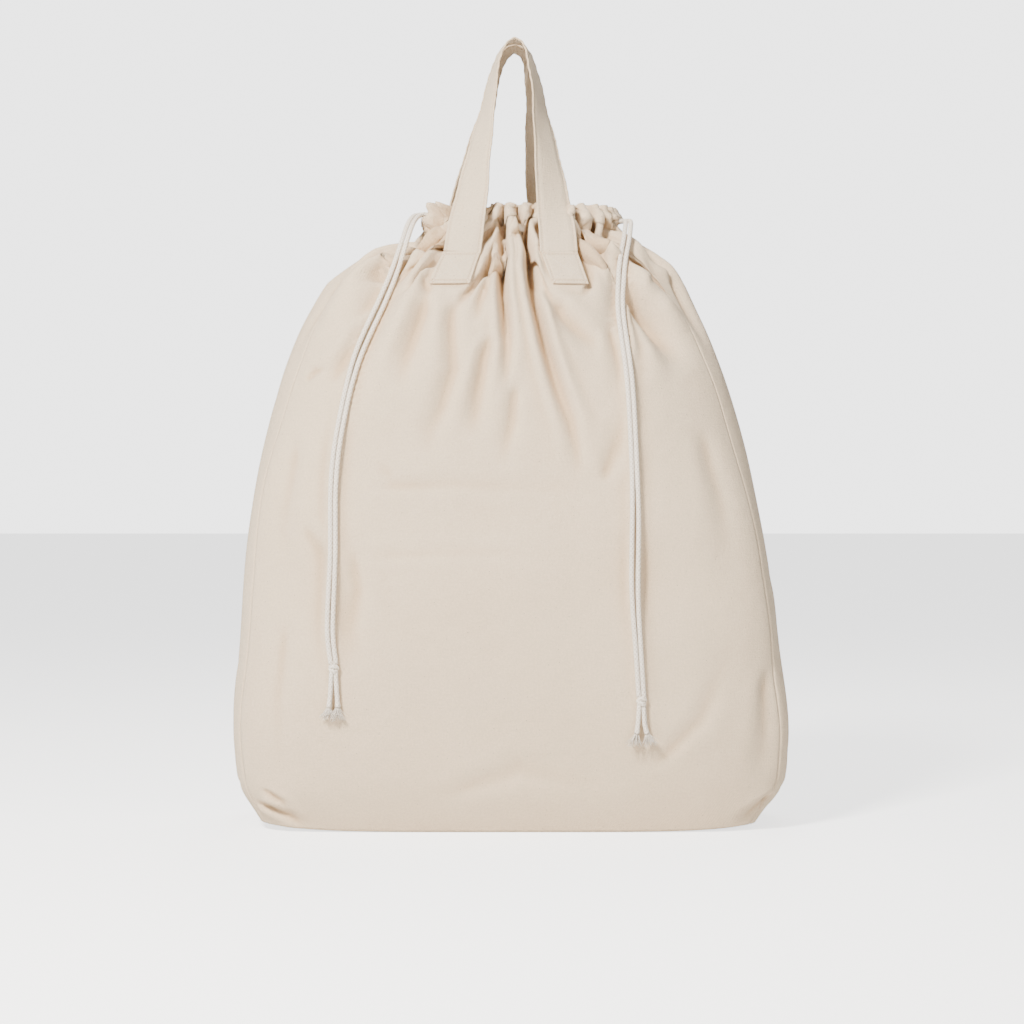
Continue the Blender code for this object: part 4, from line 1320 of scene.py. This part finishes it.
def strand_line(route, side, strand):
    """Centre line of one strand of a pair."""
    centre, _ = even_line(route, 0.0030)
    ahead = unit(np.gradient(centre, axis=0))
    away = np.linalg.norm(centre - centre[0], axis=1)
    angle = np.radians(90.0) * np.clip((away - 0.004) / 0.060, 0.0, 1.0)
    outward = np.stack([np.zeros_like(angle), -np.sin(angle), np.cos(angle)], 1)
    across = unit(np.cross(outward, ahead))
    travel = np.linspace(0.0, 1.0, len(centre))
    wander = 1.0 + 0.45 * np.maximum(np.sin(travel * 9.0 + side), 0.0) * np.sin(np.pi * travel)
    return centre + across * (strand * side * STRAND_SPREAD * wander)[:, None]


def tube(path, radius, sides=14, profile=None, braid=True):
    """Round cord swept along a path of points, with braid relief and UVs."""
    path = np.asarray(path, float)
    ahead = unit(np.gradient(path, axis=0))
    along = lengths_along(path)
    normal = unit(np.cross(ahead[0], (0.3, 0.2, 1.0)))
    pitch = bpy.context.scene.bag_cord.braid_pitch
    points, uvs = [], []
    for k, centre in enumerate(path):
        normal = unit(normal - ahead[k] * normal.dot(ahead[k]))
        side = np.cross(ahead[k], normal)
        turn = np.linspace(0.0, 2 * np.pi, sides, endpoint=False)
        size = radius if profile is None else radius * profile(along[k] / along[-1])
        relief = 0.0
        if braid:
            phase = 2 * np.pi * along[k] / pitch
            relief = 0.045 * np.maximum(np.sin(phase + 4 * turn), np.sin(phase - 4 * turn)) - 0.03
        ring = (np.cos(turn)[:, None] * normal + np.sin(turn)[:, None] * side)
        points.append(centre + ring * (size * (1 + relief) * np.ones(sides))[:, None])
        uvs.append(np.stack([np.full(sides, along[k]), turn / (2 * np.pi)], 1))
    count = len(path)
    faces = ring_faces(count, sides)
    uvs = np.concatenate(uvs)
    mesh_points = [tuple(p) for p in np.concatenate(points)]
    for ring, flip in ((0, True), (count - 1, False)):
        mesh_points.append(tuple(path[ring] - ahead[ring] * (0.0004 if flip else -0.0004)))
        uvs = np.concatenate([uvs, [[along[ring], 0.5]]])
        tip = len(mesh_points) - 1
        for m in range(sides):
            n = (m + 1) % sides
            a, b = ring * sides + m, ring * sides + n
            faces.append((b, a, tip) if flip else (a, b, tip))
    return mesh_points, faces, uvs


def make_tube(name, path, radius, **options):
    return mesh_object(name, *tube(path, radius, **options))


def knot_line(place, side):
    """Overhand knot: one and a half turns of the doubled cord pulled tight."""
    t = np.linspace(0.0, 1.0, 60)
    angle = 2 * np.pi * (1.9 * t) + (0.4 if side < 0 else 2.2)
    wide = 0.0040 * np.sin(np.pi * np.clip(t * 1.02, 0, 1)) ** 0.35
    x = place[0] + wide * np.cos(angle)
    y = place[1] + wide * 0.75 * np.sin(angle)
    z = place[2] + 0.0042 - 0.0084 * t + 0.0012 * np.sin(angle * 1.5)
    return np.stack([x, y, z], 1)


def fray(name, tip, ahead, seed, length=0.017, count=44):
    """Loose fibres where a cord end has unravelled."""
    random = np.random.default_rng(seed)
    ahead = unit(np.asarray(ahead))
    side = unit(np.cross(ahead, (0.0, 1.0, 0.0)))
    other = np.cross(ahead, side)
    fibres = []
    for _ in range(count):
        angle = random.uniform(0, 2 * np.pi)
        start = math.sqrt(random.uniform(0, 1)) * 0.0024
        out = side * math.cos(angle) + other * math.sin(angle) * 0.7
        spread = start * 1.1 + random.uniform(0.0006, 0.0085)
        reach = length * random.uniform(0.55, 1.05)
        curl = random.uniform(-0.0016, 0.0016)
        t = np.linspace(0.0, 1.0, 7)
        line = (tip + out * start + ahead * (reach * t)[:, None]
                + out * (spread * t ** 1.6)[:, None] + side * (curl * np.sin(t * 4.0))[:, None])
        fibres.append(tube(line, random.uniform(0.00045, 0.00075), sides=5, braid=False,
                           profile=lambda s: 1.0 - 0.6 * s))
    return joined_mesh(name, fibres)


def make_cord_pair(word, side, route, tail_length):
    """Two hanging strands, their knot, tails and frayed ends."""
    cord = bpy.context.scene.bag_cord
    radius = cord.diameter / 2
    material = material_of("cord")
    strands = []
    end = np.asarray(route[-1])
    for strand, label in ((-1, "front"), (1, "rear")):
        line = strand_line(route, side, strand)
        piece = make_tube("%s_cord_%s_strand_braid" % (word, label), line, radius)
        dress(piece, material, "%s_cord" % word)
        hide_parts("%s_cord_%s_strand" % (word, label))
        strands.append((piece, line))
    body = "%s_cord_end" % word
    knot_place = end - np.array((0.0, 0.0, 0.0048))
    knot = make_tube("%s_knot_cord" % word, knot_line(knot_place, side), radius * 1.02)
    dress(knot, material, body)
    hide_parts("%s_knot" % word)
    pieces = [knot]
    random = np.random.default_rng(3 if side < 0 else 8)
    for strand, label in ((-1, "inner"), (1, "outer")):
        across = strand * side
        top = end[2] - 0.0092
        short = tail_length - 0.012
        rows = [(end[0] + across * 0.0026, end[1], top + 0.0030),
                (end[0] + across * 0.0034, end[1] + 0.0003, top - short * 0.35),
                (end[0] + across * 0.0044, end[1] + 0.0006, top - short * 0.70),
                (end[0] + across * (0.0052 + random.uniform(0, 0.002)), end[1], top - short)]
        line, _ = even_line(rows, 0.0026)
        tail = make_tube("%s_cord_%s_tail_braid" % (word, label), line, radius,
                         profile=lambda s: 1.0 + 0.16 * max(0.0, s - 0.82) / 0.18)
        dress(tail, material, body)
        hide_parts("%s_cord_%s_tail" % (word, label))
        tuft = fray("%s_cord_%s_fray" % (word, label), line[-1], line[-1] - line[-3],
                    11 + strand + 5 * side)
        dress(tuft, material, body)
        pieces += [tail, tuft]
    for index, (piece, line) in enumerate(strands):
        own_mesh(piece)


def lead_line(side, exit_point, sign):
    """Short stretch of cord from the hem opening out to the exit."""
    inner_x = 0.0115 + side * 0.0960
    z = exit_point[2]
    rows = [(inner_x - side * 0.012, sign * 0.0105, z - 0.002), (inner_x, sign * 0.0072, z - 0.001),
            (inner_x + side * 0.010, sign * 0.0046, z),
            (exit_point[0] - side * 0.004, sign * STRAND_SPREAD, z),
            (exit_point[0], sign * STRAND_SPREAD, z)]
    line, _ = even_line(rows, 0.0026)
    return line


class BAG_OT_cords(bpy.types.Operator):
    """Both drawcord pairs with their knots and frayed ends"""
    bl_idname = "bag.cords"
    bl_label = "Add the drawcords"

    def execute(self, context):
        for word, side, route, exit_point, tail, axis in (
                ("left", -1, LEFT_STRANDS, LEFT_EXIT, 0.056, LEFT_DRAW_AXIS),
                ("right", 1, RIGHT_STRANDS, RIGHT_EXIT, 0.048, RIGHT_DRAW_AXIS)):
            make_cord_pair(word, side, route, tail)
            radius = context.scene.bag_cord.diameter / 2
            lead = joined_mesh("%s_cord_leads" % word,
                               [tube(lead_line(side, exit_point, sign), radius)
                                for sign in (-1, 1)])
            dress(lead, material_of("cord"), "bag")
            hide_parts("%s_cord_in_casing" % word)
        return {"FINISHED"}


class BAG_OT_panels(bpy.types.Operator):
    """Front, rear and side panels, settled over the filling"""
    bl_idname = "bag.panels"
    bl_label = "Sew the panels"

    def execute(self, context):
        for panel, name in enumerate(("front_panel", "right_gusset", "rear_panel",
                                      "left_gusset")):
            item = make_cloth_panel(name + "_canvas", panel)
            dress(item, material_of("canvas"))
            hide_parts(name)
        return {"FINISHED"}


class BAG_OT_base(bpy.types.Operator):
    """Flat base panel"""
    bl_idname = "bag.base"
    bl_label = "Sew the base"

    def execute(self, context):
        cloth = settled_cloth()
        rim = cloth["points"][0]
        middle = rim.mean(axis=0)
        points, uvs = [], []
        rings = (1.0, 0.985, 0.96, 0.90, 0.75, 0.5, 0.25)
        drop = (0.0004, -0.0010, -0.0011, -0.0008, -0.0008, -0.0008, -0.0008)
        for size, low in zip(rings, drop):
            ring = middle + (rim - middle) * size
            ring = ring[::2].copy()
            ring[:, 2] = rim[::2, 2] + low
            points.append(ring)
            uvs.append(ring[:, :2])
        count = len(points[0])
        faces = [face[::-1] for face in ring_faces(len(rings), count)]
        points = np.concatenate(points + [[(middle[0], middle[1], rim[:, 2].mean() - 0.0008)]])
        uvs = np.concatenate(uvs + [[middle[:2]]])
        last = (len(rings) - 1) * count
        for m in range(count):
            faces.append((len(points) - 1, last + (m + 1) % count, last + m))
        base = mesh_object("base_panel_canvas", points, faces, uvs)
        if base.data.polygons[-1].normal.z > 0:
            base.data.flip_normals()
        dress(base, material_of("base"))
        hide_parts("base_panel")
        return {"FINISHED"}


class BAG_OT_hem(bpy.types.Operator):
    """Drawcord hem in two halves with an opening at each side, and its stitch lines"""
    bl_idname = "bag.hem"
    bl_label = "Fold the hem"

    def execute(self, context):
        side = PANEL_COLUMNS + GUSSET_COLUMNS // 2
        lines = []
        for name, first, last in (("front_casing", -GUSSET_COLUMNS + 3,
                                   2 * side - 3),
                                  ("rear_casing", 2 * side + 3,
                                   2 * (side + PANEL_COLUMNS + GUSSET_COLUMNS) - 3)):
            columns = np.arange(first, last + 1)
            item, outside = make_hem(name + "_hem", columns)
            dress(item, material_of("hem"))
            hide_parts(name)
            lines.append(outside[1] + cloth_out(outside, 1) * 0.0002)
        sew("hem_stitches", lines, "bag")
        return {"FINISHED"}


def cloth_out(block, row):
    """Outward directions along one row of a hem."""
    across = np.gradient(block[row], axis=0)
    up = block[row + 1] - block[row - 1]
    out = np.cross(across, up)
    return out / (np.linalg.norm(out, axis=1, keepdims=True) + 1e-12)


def ribbon(name, centres, across, out, width, thickness):
    """Strap with a rolled edge: an outline swept along its line, ends closed."""
    half, skin = width / 2, thickness / 2
    outline = [(-half, 0.0), (-half + 0.0003, skin * 0.7), (-half + 0.0011, skin),
               (-half + SEAM_INSET - 0.0010, skin * 0.96), (-half + SEAM_INSET, skin * 0.40),
               (-half + SEAM_INSET + 0.0009, skin * 0.40),
               (-half + SEAM_INSET + 0.0020, skin * 0.96), (-half * 0.5, skin), (0.0, skin * 0.94)]
    outline += [(-x, y) for x, y in outline[-2::-1]]
    under = [(x, -y) for x, y in outline[1:-1][::-1]]
    outline = np.array(outline + under)
    count = len(outline)
    along = lengths_along(centres)
    points = (centres[:, None, :] + across[:, None, :] * outline[None, :, :1]
              + out[:, None, :] * outline[None, :, 1:])
    reach = np.abs(outline[:, 0]) / half
    pucker = (0.00045 * np.sin(along * 420.0)[:, None] * np.sign(outline[:, 0])[None, :]
              * np.maximum(reach - 0.55, 0.0)[None, :] * 2.0
              + 0.0006 * np.sin(along[:, None] * 95.0 + outline[None, :, 0] * 110.0)
              + 0.0008 * np.sin(along[:, None] * 41.0 - outline[None, :, 0] * 60.0))
    pucker *= (ease(along, 0.0, 0.03) * ease(along[-1] - along, 0.0, 0.03))[:, None]
    points += out[:, None, :] * pucker[..., None]
    u = np.broadcast_to(outline[None, :, 0], points.shape[:2])
    v = np.broadcast_to(along[:, None], points.shape[:2])
    faces = ring_faces(len(centres), count)
    faces.append(tuple(range(count))[::-1])
    faces.append(tuple((len(centres) - 1) * count + m for m in range(count)))
    item = mesh_object(name, points.reshape(-1, 3), faces, np.stack([u, v], -1).reshape(-1, 2))
    # painted shade along both rolled edges of the strap and in its stitch dips
    sewn = np.where(np.abs(outline[:, 1]) < skin * 0.5, 1.0, 0.0)
    store_painted_shade(item, np.broadcast_to(sewn[None, :], points.shape[:2]))
    face_outward(item)
    return item


def edge_lines(item, rows):
    """Sewn lines in the dips along both edges on both faces of a strap."""
    count = len(item.data.vertices) // rows
    places = np.empty(len(item.data.vertices) * 3)
    item.data.vertices.foreach_get("co", places)
    grid = places.reshape(rows, count, 3)
    return [(grid[:, k] + grid[:, k + 1]) / 2 for k in (4, 11, 20, 27)]


def make_loop(word, face, left_leg, right_leg):
    """The free part of one strap with its edge stitching."""
    strap = bpy.context.scene.bag_strap
    rows = [(x, face * far, z, twist) for x, far, z, twist in left_leg]
    rows.append((LOOP_TOP[0], face * LOOP_TOP[1], LOOP_TOP[2], LOOP_TOP[3]))
    rows += [(x, face * far, z, 180.0 - twist) for x, far, z, twist in right_leg[::-1]]
    count = 150
    line = np.array([spline_value(rows, (len(rows) - 1) * k / count) for k in range(count + 1)])
    centres = line[:, :3]
    ahead = unit(np.gradient(centres, axis=0))
    angle = np.radians(line[:, 3])
    across = np.stack([np.cos(angle), face * np.sin(angle), np.zeros(len(angle))], 1)
    across = unit(across - ahead * (across * ahead).sum(1)[:, None])
    out = np.cross(across, ahead) * (-face)
    item = ribbon("%s_handle_strap" % word, centres, across, out, strap.width, strap.thickness)
    body = "%s_handle_loop" % word
    dress(item, material_of("strap"), body)
    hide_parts("%s_handle" % word)
    sew("%s_handle_stitches" % word, edge_lines(item, len(centres)), body)


def make_tab(word, side_name, face, low, high):
    """A strap end sewn flat to the shoulder with a crossed box of stitches."""
    strap = bpy.context.scene.bag_strap
    lower_a, upper_a = low
    lower_b, upper_b = high
    tall, wide = TAB_TOP_Z - TAB_LOW_Z, strap.width
    stops = np.array((0.0, 0.0004, 0.0012, SEAM_INSET - 0.0010, SEAM_INSET,
                      SEAM_INSET + 0.0009, SEAM_INSET + 0.0020))
    share = np.concatenate([stops / tall, np.linspace(0.18, 0.82, 15), 1 - stops[::-1] / tall])
    z = TAB_LOW_Z + (TAB_TOP_Z + 0.0016 - TAB_LOW_Z) * share
    left = lower_a + (upper_a - lower_a) * share
    right = lower_b + (upper_b - lower_b) * share
    off = strap.thickness / 2 + 0.0012
    columns = np.concatenate([stops / wide, np.linspace(0.14, 0.86, 15),
                              1 - stops[::-1] / wide])
    x = left[:, None] + (right - left)[:, None] * columns[None, :]
    zz = np.repeat(z[:, None], len(columns), 1)
    y = face * body_depth(x, zz)
    surface = np.stack([x, y, zz], -1)
    du = np.gradient(surface, axis=1)
    dv = np.gradient(surface, axis=0)
    normal = unit(np.cross(du, dv))
    normal *= np.sign(normal[..., 1:2] * face)
    skin = strap.thickness / 2
    edge = np.array((0.10, 0.70, 1.0, 0.96, 0.35, 0.35, 0.96))
    levels = np.concatenate([edge, np.full(15, 1.0), edge[::-1]])
    roll = np.minimum(levels[None, :], levels[:, None])
    wave = 0.12 * np.sin(x * 260.0 + zz * 90.0) + 0.10 * np.sin(zz * 330.0 - x * 120.0)
    puff = (roll + np.where(roll > 0.9, wave, 0.0)) * skin
    outer = surface + normal * (off + puff)[..., None]
    inner = surface + normal * (off - roll * skin)[..., None]
    rows, cols = outer.shape[:2]
    points = np.concatenate([outer.reshape(-1, 3), inner.reshape(-1, 3)])
    front = grid_faces(rows, cols)
    back = grid_faces(rows, cols, rows * cols, True)
    border = grid_border(rows, cols)
    skirt = [(b, a, a + rows * cols, b + rows * cols)
             for a, b in zip(border, np.roll(border, -1))]
    uv = np.stack([(x - x.mean()), zz], -1).reshape(-1, 2)
    item = mesh_object("%s_handle_%s_tab_strap" % (word, side_name), points,
                       [*front, *back, *skirt],
                       np.concatenate([uv, uv]))
    # painted shade: full in the stitch dips, half along the tab's border
    sewn = np.where(roll < 0.5, 1.0, 0.0)
    sewn[:1], sewn[-1:], sewn[:, :1], sewn[:, -1:] = 0.5, 0.5, 0.5, 0.5
    store_painted_shade(item, np.concatenate([sewn, sewn]))
    face_outward(item)
    dress(item, material_of("strap"))
    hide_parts("%s_handle_%s_tab" % (word, side_name))

    def on_tab(a, b):
        """Point on the tab's outer face at shares across and up."""
        row = np.interp(b, share, np.arange(rows))
        column = np.interp(a, columns, np.arange(cols))
        r0, c0 = min(int(row), rows - 2), min(int(column), cols - 2)
        fr, fc = row - r0, column - c0
        return ((outer[r0, c0] * (1 - fc) + outer[r0, c0 + 1] * fc) * (1 - fr)
                + (outer[r0 + 1, c0] * (1 - fc) + outer[r0 + 1, c0 + 1] * fc) * fr)

    ia, ib = (SEAM_INSET + 0.00045) / wide, (SEAM_INSET + 0.00045) / tall
    corners = ((ia, ib), (1 - ia, ib), (1 - ia, 1 - ib), (ia, 1 - ib))
    runs = [(corners[k], corners[(k + 1) % 4]) for k in range(4)]
    runs += [(corners[0], corners[2]), (corners[1], corners[3])]
    return [np.array([on_tab(a[0] + (b[0] - a[0]) * t, a[1] + (b[1] - a[1]) * t)
                      for t in np.linspace(0.0, 1.0, 25)]) for a, b in runs]


class BAG_OT_handles(bpy.types.Operator):
    """Both strap handles, their sewn ends and stitching"""
    bl_idname = "bag.handles"
    bl_label = "Sew the handles"

    def execute(self, context):
        lines = []
        for word, face, left_leg, right_leg, edges in (
                ("front", -1, FRONT_LEFT_LEG, FRONT_RIGHT_LEG, FRONT_TAB_EDGES),
                ("rear", 1, REAR_LEFT_LEG, REAR_RIGHT_LEG, REAR_TAB_EDGES)):
            make_loop(word, face, left_leg, right_leg)
            names = ("left", "right") if face < 0 else ("right", "left")
            for side_name, first in zip(names, (0, 2)):
                low, high = edges[first], edges[first + 1]
                if low[0] > high[0]:
                    low, high = high, low
                lines += make_tab(word, side_name, face, low, high)
        sew("tab_stitches", lines, "bag")
        return {"FINISHED"}


OPERATORS = (BAG_OT_stage, BAG_OT_cords, BAG_OT_panels, BAG_OT_base, BAG_OT_hem,
             BAG_OT_handles)


class BAG_PT_sidebar(bpy.types.Panel):
    """Lists the steps that build the bag"""
    bl_idname = "BAG_PT_sidebar"
    bl_label = "Laundry Bag"
    bl_space_type = "VIEW_3D"
    bl_region_type = "UI"
    bl_category = "Laundry Bag"

    def draw(self, context):
        for operator in OPERATORS:
            self.layout.operator(operator.bl_idname)
        for settings, _ in SETTINGS:
            group = getattr(context.scene, settings)
            for name in group.bl_rna.properties.keys():
                if name not in ("rna_type", "name"):
                    self.layout.prop(group, name)


SETTINGS = (("bag_canvas", CanvasSettings), ("bag_strap", StrapSettings),
            ("bag_thread", ThreadSettings), ("bag_cord", CordSettings),
            ("bag_stage", StageSettings))


def register():
    for name, group in SETTINGS:
        bpy.utils.register_class(group)
        setattr(bpy.types.Scene, name, PointerProperty(type=group))
    for operator in OPERATORS:
        bpy.utils.register_class(operator)
    bpy.utils.register_class(BAG_PT_sidebar)


def unregister():
    bpy.utils.unregister_class(BAG_PT_sidebar)
    for operator in reversed(OPERATORS):
        bpy.utils.unregister_class(operator)
    for name, group in reversed(SETTINGS):
        delattr(bpy.types.Scene, name)
        bpy.utils.unregister_class(group)


def main():
    register()
    for step in (bpy.ops.bag.stage, bpy.ops.bag.cords, bpy.ops.bag.panels, bpy.ops.bag.base,
                 bpy.ops.bag.hem, bpy.ops.bag.handles):
        if step() != {"FINISHED"}:
            raise RuntimeError("a step of the bag did not finish")


if __name__ == "__main__":
    main()
